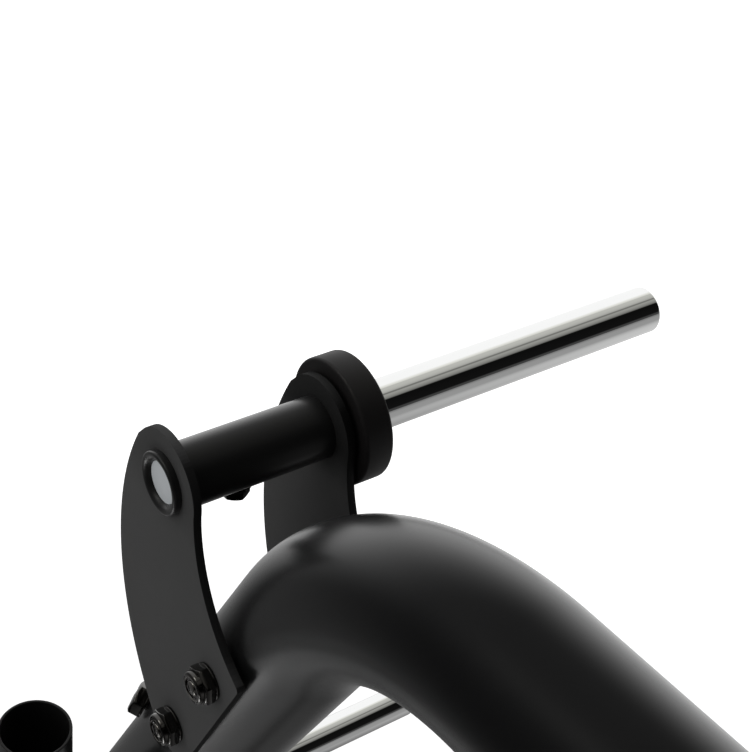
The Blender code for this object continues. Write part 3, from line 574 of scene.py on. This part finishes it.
def meet(centre_a, radius_a, centre_b, radius_b):
    """Where two circles in the (y, z) plane cross, to the left of the line from a to b."""
    line = centre_b - centre_a
    along = (line.length_squared + radius_a ** 2 - radius_b ** 2) / (2 * line.length)
    off = math.sqrt(max(radius_a ** 2 - along ** 2, 0))
    unit = line.normalized()
    return centre_a + unit * along + Vector((-unit.y, unit.x)) * off


def crescent(x_near, x_far):
    """Cheek plate: top round the sleeve, convex back, end round the low bolt, hollow front."""
    bolt = on_leg(LOW_BOLT_ALONG)
    top = Vector((UPPER_SLEEVE.y, UPPER_SLEEVE.z))
    low = Vector((bolt.y, bolt.z))
    back = top + BACK_CENTRE
    front = top + HOLLOW_CENTRE
    end = low + (low - back).normalized() * END_SHIFT
    end_radius = BACK_ROUND - (end - back).length
    corner = front + heading(CORNER_TURN) * (HOLLOW_ROUND + CORNER_ROUND)
    shoulder = top + heading(SHOULDER_TURN) * TOP_ROUND
    down = Vector((math.sin(SHOULDER_TURN), -math.cos(SHOULDER_TURN)))
    half = (shoulder - back).dot(down)
    reach = math.sqrt(half ** 2 - (shoulder - back).length_squared + BACK_ROUND ** 2) - half
    back_top = shoulder + down * reach
    back_end = back + (end - back).normalized() * BACK_ROUND
    top_front = meet(top, TOP_ROUND, front, HOLLOW_ROUND)
    line = corner - end
    slope = math.atan2(line.y, line.x) + math.acos((end_radius - CORNER_ROUND) / line.length)
    tip = corner + (front - corner).normalized() * CORNER_ROUND
    arcs = ((top, top_front, shoulder, 36),
            (back, back_top, back_end, 40),
            (end, back_end, end + heading(slope) * end_radius, 24),
            (corner, corner + heading(slope) * CORNER_ROUND, tip, 10),
            (front, tip, top_front, 30))
    bm = bmesh.new()
    tail = bm.verts.new((x_near, top_front.x, top_front.y))
    for centre, start, stop, steps in arcs:
        place = Vector((x_near, start.x, start.y))
        if (tail.co - place).length > 1e-6:
            joint = bm.verts.new(place)
            bm.edges.new((tail, joint))
            tail = joint
        begin = math.atan2(start.y - centre.y, start.x - centre.x)
        turn = math.atan2(stop.y - centre.y, stop.x - centre.x) - begin
        turn = (turn + math.pi) % (2 * math.pi) - math.pi
        if centre is top and turn > 0:
            turn -= 2 * math.pi
        swept = bmesh.ops.spin(bm, geom=[tail], cent=(x_near, centre.x, centre.y), axis=(1, 0, 0),
                               dvec=(0, 0, 0), angle=turn, steps=steps, use_merge=False)
        tail = only(swept["geom_last"], bmesh.types.BMVert)[0]
    bmesh.ops.remove_doubles(bm, verts=bm.verts, dist=SOLID_MERGE)
    hole = Matrix.Translation((x_near, UPPER_SLEEVE.y, UPPER_SLEEVE.z))
    bmesh.ops.create_circle(bm, cap_ends=False, segments=72, radius=SLEEVE_RADIUS - PLATE_LAP,
                            matrix=hole @ Matrix.Rotation(math.pi / 2, 4, "Y"))
    bmesh.ops.triangle_fill(bm, edges=bm.edges[:], use_beauty=True, use_dissolve=False)
    plate = bmesh.ops.extrude_face_region(bm, geom=bm.faces[:])
    bmesh.ops.translate(bm, vec=(x_far - x_near, 0, 0),
                        verts=only(plate["geom"], bmesh.types.BMVert))
    bmesh.ops.recalc_face_normals(bm, faces=bm.faces)
    soften(bm, 0.0007, 2, 50)
    return bm


both_sides("inner_crescent", crescent(SIDE_X - CHEEK_NEAR - CHEEK_THICK, SIDE_X - CHEEK_NEAR),
           INNER_CHEEK_SHADED_COAT, nodes=["inner_cheek"])
both_sides("outer_crescent", crescent(SIDE_X + CHEEK_NEAR, SIDE_X + CHEEK_NEAR + CHEEK_THICK),
           OUTER_CHEEK_SHADED_COAT, nodes=["outer_cheek"])


# Storage horns

def round_edges(bm, edges, width):
    """Round over the edges that are given."""
    bmesh.ops.bevel(bm, geom=edges, offset=width, segments=6, affect="EDGES", profile=0.5,
                    material=-1, clamp_overlap=True)


def level_edge(edge):
    """Whether an edge keeps one height."""
    return abs(edge.verts[0].co.z - edge.verts[1].co.z) < 1e-6


def horn_group(level):
    """Sleeve with its rolled mouth, bright horn, grey plug and stopper disc, on one axis."""
    centre = axis_of(f"{level}_sleeve_r")
    along = Vector((1, 0, 0))

    lo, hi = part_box(f"{level}_sleeve_r")
    sleeve = spun([(SLEEVE_BORE, hi.x), (SLEEVE_RADIUS, hi.x), (SLEEVE_RADIUS, lo.x),
                   (MOUTH_RADIUS, lo.x), (LIP_RADIUS, lo.x + MOUTH_DEPTH),
                   (LIP_RADIUS, lo.x + LIP_DEPTH), (SLEEVE_BORE, lo.x + LIP_DEPTH)])
    mouth = [e for e in sleeve.edges if level_edge(e) and abs(e.verts[0].co.z - lo.x) < 1e-6
             and abs(e.verts[0].co.xy.length - e.verts[1].co.xy.length) < 1e-6]
    round_edges(sleeve, mouth, MOUTH_ROUND)
    both_sides(f"{level}_tube_sleeve", lay(sleeve, centre, along), SLEEVE_COAT,
               nodes=[f"{level}_sleeve"], sharp=60)

    lo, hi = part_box(f"{level}_horn_r")
    inner = HORN_RADIUS - HORN_WALL
    tip = [(HORN_RADIUS - HORN_NOSE * (1 - math.sin(math.radians(a))),
            hi.x - HORN_NOSE * (1 - math.cos(math.radians(a)))) for a in range(0, 91, 9)]
    horn = spun([(0, hi.x)] + tip + [(HORN_RADIUS, lo.x + HORN_CHAMFER),
                                     (HORN_RADIUS - HORN_CHAMFER, lo.x), (inner, lo.x),
                                     (inner, lo.x + HORN_HOLLOW), (0, lo.x + HORN_HOLLOW)], 128)
    both_sides(f"{level}_bright_horn", lay(horn, centre, along), CHROME,
               nodes=[f"{level}_horn"])

    lo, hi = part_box(f"{level}_plug_r")
    plug = rod(inner - PLUG_GAP, hi.x, lo.x, 64)
    soften(plug, 0.0004, 2, 40)
    both_sides(f"{level}_end_plug", lay(plug, centre, along), PLUG_GREY,
               nodes=[f"{level}_plug"])

    lo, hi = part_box(f"{level}_stopper_r")
    stopper = spun([(SLEEVE_BORE, hi.x), (STOPPER_RADIUS, hi.x), (STOPPER_RADIUS, lo.x),
                    (SLEEVE_BORE, lo.x)], 128)
    rims = [e for e in stopper.edges if level_edge(e)
            and min(v.co.xy.length for v in e.verts) > STOPPER_RADIUS - 1e-5]
    round_edges(stopper, rims, STOPPER_ROUND)
    both_sides(f"{level}_stopper_disc", lay(stopper, centre, along), STOPPER_COAT,
               nodes=[f"{level}_stopper"], sharp=60)


horn_group("upper")
horn_group("lower")


# Bolts, nuts and screws

def hexagon(flats, height, chamfer=0.12):
    """Hexagon head or nut from Z = 0 up, with its corners turned down as a real one's are."""
    bm = bmesh.new()
    bmesh.ops.create_cone(bm, cap_ends=True, cap_tris=False, segments=6,
                          radius1=flats / math.sqrt(3), radius2=flats / math.sqrt(3), depth=height)
    bmesh.ops.translate(bm, vec=(0, 0, height / 2), verts=bm.verts)
    bmesh.ops.subdivide_edges(bm, edges=[e for e in bm.edges if level_edge(e)], cuts=7,
                              use_grid_fill=True)
    top = [f for f in bm.faces if f.normal.z > 0.9]
    bmesh.ops.inset_region(bm, faces=top, thickness=flats * chamfer * 0.35, depth=0,
                           use_even_offset=True)
    flat_reach = flats * 0.47
    fall = 0.55
    for vert in bm.verts:
        over = vert.co.xy.length - flat_reach
        if vert.co.z > height * 0.99 and over > 0:
            vert.co.z -= over * fall
    soften(bm, flats * 0.012, 2, 40)
    return bm


def washer(radius, bore, thick):
    """Flat ring with its edges rounded."""
    bm = spun([(bore, thick), (radius, thick), (radius, 0), (bore, 0)], 64)
    soften(bm, thick * 0.2, 2, 50)
    return bm


def on_washer(size, head, sunk):
    """A head or nut on its washer, sunk into it by a hair so that no gap shows."""
    return stack([(washer(*size), 0), (head, size[2] - sunk)])


def screw(size, head, shank):
    """A head on its washer, with its shank below."""
    radius, length = shank
    return add(on_washer(size, head, HEAD_SUNK), rod(radius, 0, -length, 32))


def lock_nut(flats, height):
    """Nut with a round collar that holds its locking ring."""
    collar = spun([(0.0104, height - 0.0016), (0.0106, height - 0.0004), (0.0112, height),
                   (flats * 0.40, height), (flats * 0.440, height - 0.0006),
                   (flats * 0.470, height - 0.0018), (flats * 0.488, height * 0.72),
                   (flats * 0.490, height * 0.62), (0.0078, height * 0.62),
                   (0.0078, height - 0.0016)], 72)
    return add(hexagon(flats, height * 0.66, 0.16), collar)


def bolt_end(height):
    """Rounded end of the bolt where it comes through the nut, with the rim of the nut's lip."""
    end = spun([(0, height + 0.0009), (0.0040, height + 0.0008), (0.0064, height + 0.0004),
                (0.0076, height - 0.0008), (0.0076, height * 0.60), (0, height * 0.60)], 72)
    soften(end, 0.0003, 2, 25)
    lip = spun([(0.0106, height - 0.0004), (0.0112, height + 0.0002), (0.0124, height + 0.0002),
                (0.0130, height - 0.0004)], 72)
    return add(end, lip)


for name, along in (("cheek_bolt_top", TOP_BOLT_ALONG), ("cheek_bolt_low", LOW_BOLT_ALONG)):
    seat = CHEEK_NEAR + CHEEK_THICK + SEAT_GAP
    inner = on_washer(NUT_WASHER, lock_nut(NUT_FLATS, NUT_HEIGHT), NUT_SUNK)
    outer = on_washer(NUT_WASHER, hexagon(NUT_FLATS, HEAD_HEIGHT), NUT_SUNK)
    whole = bmesh.new()
    add(whole, lay(inner, on_leg(along, 0, -seat), (-1, 0, 0)))
    add(whole, lay(outer, on_leg(along, 0, seat), (1, 0, 0)))
    add(whole, lay(rod(SHANK_RADIUS, seat, -seat, 48), on_leg(along), (1, 0, 0)))
    both_sides(name + "_set", whole, FASTENER, nodes=[name])
    end = stack([(bolt_end(NUT_HEIGHT), NUT_WASHER[2] - NUT_SUNK)])
    lay(end, on_leg(along, 0, -seat), (-1, 0, 0))
    both_sides(name + "_end", end, BOLT_END)

head = screw(SCREW_WASHER, hexagon(SCREW_FLATS, SCREW_HEAD_HEIGHT), SCREW_SHANK)
lo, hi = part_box("sleeve_screw_r")
screw_top = Vector(((lo.x + hi.x) / 2, (lo.y + hi.y) / 2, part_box("upper_sleeve_r")[0].z - SEAT_GAP))
both_sides("sleeve_set_screw", lay(head, screw_top, (0, 0, -1)), FASTENER,
           nodes=["sleeve_screw"])

normal = LEG_OUT * math.cos(LEG_BOLT_TURN) - Vector((math.sin(LEG_BOLT_TURN), 0, 0))
head = screw(LEG_BOLT_WASHER, hexagon(LEG_BOLT_FLATS, HEAD_HEIGHT), LEG_BOLT_SHANK)
seat = on_leg(LEG_BOLT_ALONG) + normal * (TUBE_RADIUS + LEG_BOLT_RISE)
both_sides("leg_set_bolt", lay(head, seat, normal), FASTENER, nodes=["leg_bolt"])


# Bar holder

def bar_holder():
    """Upright cup for a standing bar, with the arm that joins it to the leg."""
    lo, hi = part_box("bar_holder_r")
    centre = Vector((lo.x + HOLDER_RADIUS, (lo.y + hi.y) / 2, 0))
    bore = HOLDER_RADIUS - HOLDER_WALL
    cup = spun([(bore, hi.z), (HOLDER_RADIUS, hi.z), (HOLDER_RADIUS, lo.z), (0, lo.z),
                (0, lo.z + HOLDER_FLOOR), (bore, lo.z + HOLDER_FLOOR)])
    soften(cup, 0.0007, 3, 50)
    bmesh.ops.translate(cup, vec=centre, verts=cup.verts)
    start = centre.x + HOLDER_ARM_START
    end = hi.x + HOLDER_ARM_LAP
    height = (LEG_FOOT_Y - centre.y) * math.tan(LEG_ANGLE)
    return add(cup, block((end - start, HOLDER_ARM_WIDTH, HOLDER_ARM_HEIGHT),
                          ((end + start) / 2, centre.y, height), 0.003))


both_sides("standing_bar_holder", bar_holder(), SLEEVE_COAT, nodes=["bar_holder"],
           sharp=50)


# Solids that keep their shape, with their edges rounded over

def dressed(node, finish, body, width):
    """A merged copy of a solid with its sharp edges rounded over, in place of the plain one."""
    bm = bmesh.new()
    bm.from_mesh(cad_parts[node].data)
    bmesh.ops.remove_doubles(bm, verts=bm.verts, dist=SOLID_MERGE)
    bmesh.ops.dissolve_limit(bm, angle_limit=math.radians(1.0), verts=bm.verts, edges=bm.edges)
    bmesh.ops.recalc_face_normals(bm, faces=bm.faces)
    soften(bm, width, 3, 50)
    place_piece(node + "_dressed", bm, finish, body, [node])


for side, word in (("r", "right"), ("l", "left")):
    for node, finish, slot, body, width in (
            ("leg_flange", BEAM_COAT, "frame_black", "frame", 0.0015),
            ("arch_flange", BEAM_COAT, "frame_black", "frame", 0.0015),
            ("base_beam", BEAM_COAT, "frame_black", "frame", 0.0012),
            ("upright", BEAM_COAT, "frame_black", "frame", 0.0010),
            ("base_cap", CAP_PLASTIC, "cap_plastic", "frame", 0.0020),
            ("foot_front", RUBBER, "foot_rubber", "frame", 0.0030),
            ("foot_rear", RUBBER, "foot_rubber", "frame", 0.0030),
            ("hook", BEAM_COAT, "frame_black", "hook_" + word, 0.0012),
            ("hook_liner", LINER, "liner_plastic", "hook_" + word, 0.0015),
            ("safety_arm", BEAM_COAT, "frame_black", "safety_arm_" + word, 0.0012),
            ("arm_pad", LINER, "liner_plastic", "safety_arm_" + word, 0.0015)):
        dressed(f"{node}_{side}", finish, body, width)
for node in ("rear_cross", "top_cross"):
    dressed(node, BEAM_COAT, "frame", 0.0010)


# Pull pins

def pull_pin(node):
    """Round pin with a grooved knob, along X on the right side."""
    lo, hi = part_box(node + "_r")
    reach = (hi.z - lo.z) / 2
    knob = hi.x - KNOB_LENGTH
    profile = [(0, hi.x), (reach - 0.004, hi.x), (reach, hi.x - 0.004)]
    for groove in range(KNOB_GROOVES):
        height = hi.x - 0.0055 - groove * GROOVE_PITCH
        profile += [(reach, height), (reach - GROOVE_DEPTH, height - 0.0006),
                    (reach - GROOVE_DEPTH, height - 0.0016), (reach, height - 0.0022)]
    profile += [(reach, knob + 0.003), (reach - 0.003, knob), (PIN_RADIUS, knob),
                (PIN_RADIUS, lo.x + 0.002), (PIN_TIP_RADIUS, lo.x), (0, lo.x)]
    return lay(spun(profile, 64), axis_of(node + "_r"), (1, 0, 0))


for name, node in (("hook_pull_pin", "hook_pin"), ("arm_pull_pin", "arm_pin")):
    both_sides(name, pull_pin(node), PIN_COAT, (node + "_right", node + "_left"),
               [node], 28)


# Welds and flange bolts

def bead_ring(radius, size, ripples):
    """Weld bead round a tube of that radius, about Z, with the ripples of its passes."""
    bm = bmesh.new()
    ring = bmesh.ops.create_circle(
        bm, cap_ends=False, segments=10, radius=size,
        matrix=Matrix.Translation((radius, 0, 0)) @ Matrix.Rotation(math.pi / 2, 4, "X"))
    bmesh.ops.spin(bm, geom=edges_of(ring["verts"]) + ring["verts"], cent=(0, 0, 0),
                   axis=(0, 0, 1), dvec=(0, 0, 0), angle=2 * math.pi, steps=288, use_merge=True,
                   use_duplicate=False)
    for vert in bm.verts:
        angle = math.atan2(vert.co.y, vert.co.x)
        middle = Vector((math.cos(angle), math.sin(angle), 0)) * radius
        swell = 1 + 0.13 * math.sin(ripples * angle + 1.2 * math.sin(vert.co.z / size))
        vert.co = middle + (vert.co - middle) * swell
    return bm


def flange_bolts(places, normal):
    """Hexagon heads with washers, all on one flange."""
    bm = bmesh.new()
    for place in places:
        head = on_washer(FLANGE_WASHER, hexagon(FLANGE_BOLT_FLATS, FLANGE_HEAD_HEIGHT), HEAD_SUNK)
        add(bm, lay(head, place, normal))
    return bm


lo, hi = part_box("leg_flange_r")
middle = (lo + hi) / 2
bead = bead_ring(TUBE_RADIUS, TUBE_BEAD, TUBE_RIPPLES)
bmesh.ops.scale(bead, vec=(1, 1 / math.sin(LEG_ANGLE), 1), verts=bead.verts)
leg_y = LEG_FOOT_Y - hi.z / math.tan(LEG_ANGLE)
bmesh.ops.translate(bead, vec=(SIDE_X, leg_y, hi.z + BEAD_RISE), verts=bead.verts)
both_sides("leg_foot_weld", bead, WELD)
across, lengthwise = LEG_FLANGE_BOLTS
spots = [(middle.x + x, middle.y + y, hi.z) for x in across for y in lengthwise]
both_sides("leg_flange_bolts", flange_bolts(spots, (0, 0, 1)), FASTENER)

lo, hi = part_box("arch_flange_r")
middle = (lo + hi) / 2
bend_end = (BEND_START - LEG_OUT * BEND_RADIUS
            + Vector((0, math.sin(RUN_RISE), math.cos(RUN_RISE))) * BEND_RADIUS)
run_height = bend_end.z + (bend_end.y - hi.y) * math.tan(RUN_RISE)
bead = bead_ring(TUBE_RADIUS, TUBE_BEAD, TUBE_RIPPLES)
bmesh.ops.scale(bead, vec=(1, 1 / math.cos(RUN_RISE), 1), verts=bead.verts)
both_sides("arch_end_weld", lay(bead, Vector((SIDE_X, hi.y + BEAD_RISE, run_height)), (0, 1, 0)),
           WELD)
across, lengthwise = ARCH_FLANGE_BOLTS
spots = [(middle.x + x, hi.y, middle.z + z) for x in across for z in lengthwise]
both_sides("arch_flange_bolts", flange_bolts(spots, (0, 1, 0)), FASTENER)

lo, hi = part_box("upright_r")
foot_top = lo.z + FOOT_PLATE
post_y = (lo.y + hi.y) / 2
bead = block(FOOT_BEAD, (SIDE_X, post_y, foot_top + FOOT_BEAD_RISE), FOOT_BEAD_ROUND, 4)
both_sides("upright_foot_weld", bead, WELD)
across, lengthwise = FOOT_PLATE_BOLTS
spots = [(SIDE_X + x, post_y + y, foot_top) for x in across for y in lengthwise]
both_sides("upright_foot_bolts", flange_bolts(spots, (0, 0, 1)), FASTENER)

sleeve = axis_of("lower_sleeve_r")
offset = (sleeve - Vector((0, BEND_START.y, BEND_START.z))).dot(LEG_OUT)
for label, way in (("inner", -1), ("outer", 1)):
    bead = lay(bead_ring(SLEEVE_RADIUS, SLEEVE_BEAD, SLEEVE_RIPPLES), sleeve, (way, 0, 0))
    for vert in bead.verts:
        out = min(abs(offset + (vert.co - sleeve).dot(LEG_OUT)), TUBE_RADIUS * 0.98)
        vert.co.x += SIDE_X + way * math.sqrt(TUBE_RADIUS ** 2 - out ** 2)
    both_sides(f"lower_sleeve_{label}_weld", bead, WELD)


# Floor, light and camera

def studio_floor():
    """Wide pale floor that keeps the rack's shadow and whitens with distance for the eye."""
    bm = bmesh.new()
    bmesh.ops.create_circle(bm, cap_ends=True, segments=96, radius=14.0)
    mesh = bpy.data.meshes.new("studio_floor")
    bm.to_mesh(mesh)
    bm.free()
    floor = bpy.data.objects.new("studio_floor", mesh)
    bpy.context.scene.collection.objects.link(floor)
    floor.location.z = -0.0005
    floor.visible_glossy = False
    mat = bpy.data.materials.new("studio_floor_white")
    mat.use_nodes = True
    tree = mat.node_tree
    shader = tree.nodes["Principled BSDF"]
    shader.inputs["Base Color"].default_value = (0.82, 0.82, 0.82, 1)
    shader.inputs["Roughness"].default_value = 0.9
    shader.inputs["Specular IOR Level"].default_value = 0.1
    shader.inputs["Emission Color"].default_value = (1, 1, 1, 1)
    distance = tree.nodes.new("ShaderNodeVectorMath")
    distance.operation = "LENGTH"
    feed(tree, distance.inputs[0], tree.nodes.new("ShaderNodeTexCoord").outputs["Object"])
    lift = ramp(tree, distance.outputs["Value"], *FLOOR_FADE, *FLOOR_LIFT)
    seen = tree.nodes.new("ShaderNodeLightPath").outputs["Is Camera Ray"]
    feed(tree, shader.inputs["Emission Strength"], calc(tree, "MULTIPLY", seen, lift))
    mesh.materials.append(mat)


def shine_colour(tree, angle):
    """Grey level of the studio as shiny faces see it, by angle round the X axis."""
    band = tree.nodes.new("ShaderNodeValToRGB")
    feed(tree, band.inputs["Fac"], ramp(tree, angle, -math.pi, math.pi, shape="LINEAR"))
    stops = band.color_ramp.elements
    stops.remove(stops[-1])
    for index, (degrees, level) in enumerate(SHINE_LEVELS):
        stop = stops.new((degrees + 180) / 360) if index else stops[0]
        stop.position = (degrees + 180) / 360
        blue = 0.94 if 55 < degrees < 120 else 1.0
        stop.color = (level / SHINE_GAIN, level / SHINE_GAIN, level * blue / SHINE_GAIN, 1)
    return band.outputs["Color"]


def studio_world():
    """White for the eye; bright behind and dark in front for shiny faces; soft light for others."""
    world = bpy.data.worlds.new("white_studio")
    bpy.context.scene.world = world
    world.use_nodes = True
    tree = world.node_tree
    plain = tree.nodes["Background"]
    plain.inputs["Color"].default_value = (1, 1, 1, 1)
    plain.inputs["Strength"].default_value = 1.0
    place = tree.nodes.new("ShaderNodeTexCoord").outputs["Generated"]
    parts = split(tree, place)

    # Shiny faces: weaker low on the left, a low panel in front on the left, and two small panels
    slope = calc(tree, "ADD", parts["X"], parts["Z"])
    side = ramp(tree, slope, -0.70, 0.15, 0.12 * SHINE_GAIN, SHINE_GAIN)
    below = ramp(tree, parts["Z"], -0.70, -0.97, 0.0, 0.22 * SHINE_GAIN)
    ahead = toward(tree, place, (-0.15, -0.98, 0.10))
    panel = ramp(tree, ahead, 0.55, 0.97, 0.0, 0.8 * SHINE_GAIN)
    inward = ramp(tree, parts["X"], 0.30, -0.20)
    low = calc(tree, "MULTIPLY", calc(tree, "ADD", below, panel), inward)
    strength = calc(tree, "ADD", side, low)
    for aim, power in (((-0.60, 0.30, 0.75), 7.0), ((-0.62, 0.10, -0.78), 5.0)):
        spot = ramp(tree, toward(tree, place, aim), 0.970, 0.992, 0.0, power * SHINE_GAIN)
        strength = calc(tree, "ADD", strength, spot)
    shine = tree.nodes.new("ShaderNodeBackground")
    feed(tree, shine.inputs["Color"],
         shine_colour(tree, calc(tree, "ARCTAN2", parts["Z"], parts["Y"])))
    feed(tree, shine.inputs["Strength"], strength)

    # Other faces: light from the back, the left and a little above
    soft = tree.nodes.new("ShaderNodeBackground")
    soft.inputs["Color"].default_value = (1, 1, 1, 1)
    facing = toward(tree, place, (-0.60, 0.75, 0.25))
    feed(tree, soft.inputs["Strength"], ramp(tree, facing, -0.5, 1.0, 0.02, 0.84, "LINEAR"))

    path = tree.nodes.new("ShaderNodeLightPath").outputs
    lit = blend(tree, path["Is Glossy Ray"], soft.outputs[0], shine.outputs[0])
    seen = calc(tree, "MAXIMUM", path["Is Camera Ray"], path["Is Transmission Ray"])
    feed(tree, tree.nodes["World Output"].inputs["Surface"],
         blend(tree, seen, lit, plain.outputs[0]))


def soft_lamp(name, place, aim, width, height, watts):
    """Large soft box, not seen in shiny faces."""
    data = bpy.data.lights.new(name, "AREA")
    data.shape = "RECTANGLE"
    data.size = width
    data.size_y = height
    data.energy = watts
    lamp = bpy.data.objects.new(name, data)
    bpy.context.scene.collection.objects.link(lamp)
    lamp.location = place
    lamp.visible_glossy = False
    lamp.rotation_euler = (Vector(aim) - Vector(place)).to_track_quat("-Z", "Y").to_euler()


def photo_camera():
    """The photograph's camera, turned by its look and its right-hand side."""
    data = bpy.data.cameras.new("camera")
    data.sensor_width = SENSOR_WIDTH
    data.lens = FOCAL_PIXELS / PHOTO_WIDTH * SENSOR_WIDTH
    data.clip_end = 60.0
    camera = bpy.data.objects.new("camera", data)
    bpy.context.scene.collection.objects.link(camera)
    look = CAMERA_LOOK.normalized()
    right = (CAMERA_RIGHT - look * CAMERA_RIGHT.dot(look)).normalized()
    turn = Matrix((right, right.cross(look), -look)).transposed()
    camera.matrix_world = Matrix.Translation(CAMERA_PLACE) @ turn.to_4x4()
    bpy.context.scene.camera = camera


studio_floor()
studio_world()
soft_lamp("overhead_soft_box", (1.2, 1.6, 4.6), (0.3, 0.1, 1.0), 3.6, 2.4, 20)
soft_lamp("side_soft_box", (-3.3, 0.9, 1.8), (0.4, 0.3, 1.2), 5.0, 2.4, 20)
soft_lamp("fill_soft_box", (3.4, 0.9, 1.7), (0.4, 0.3, 1.2), 2.6, 2.2, 16)
photo_camera()
bpy.context.scene.view_settings.view_transform = "Standard"
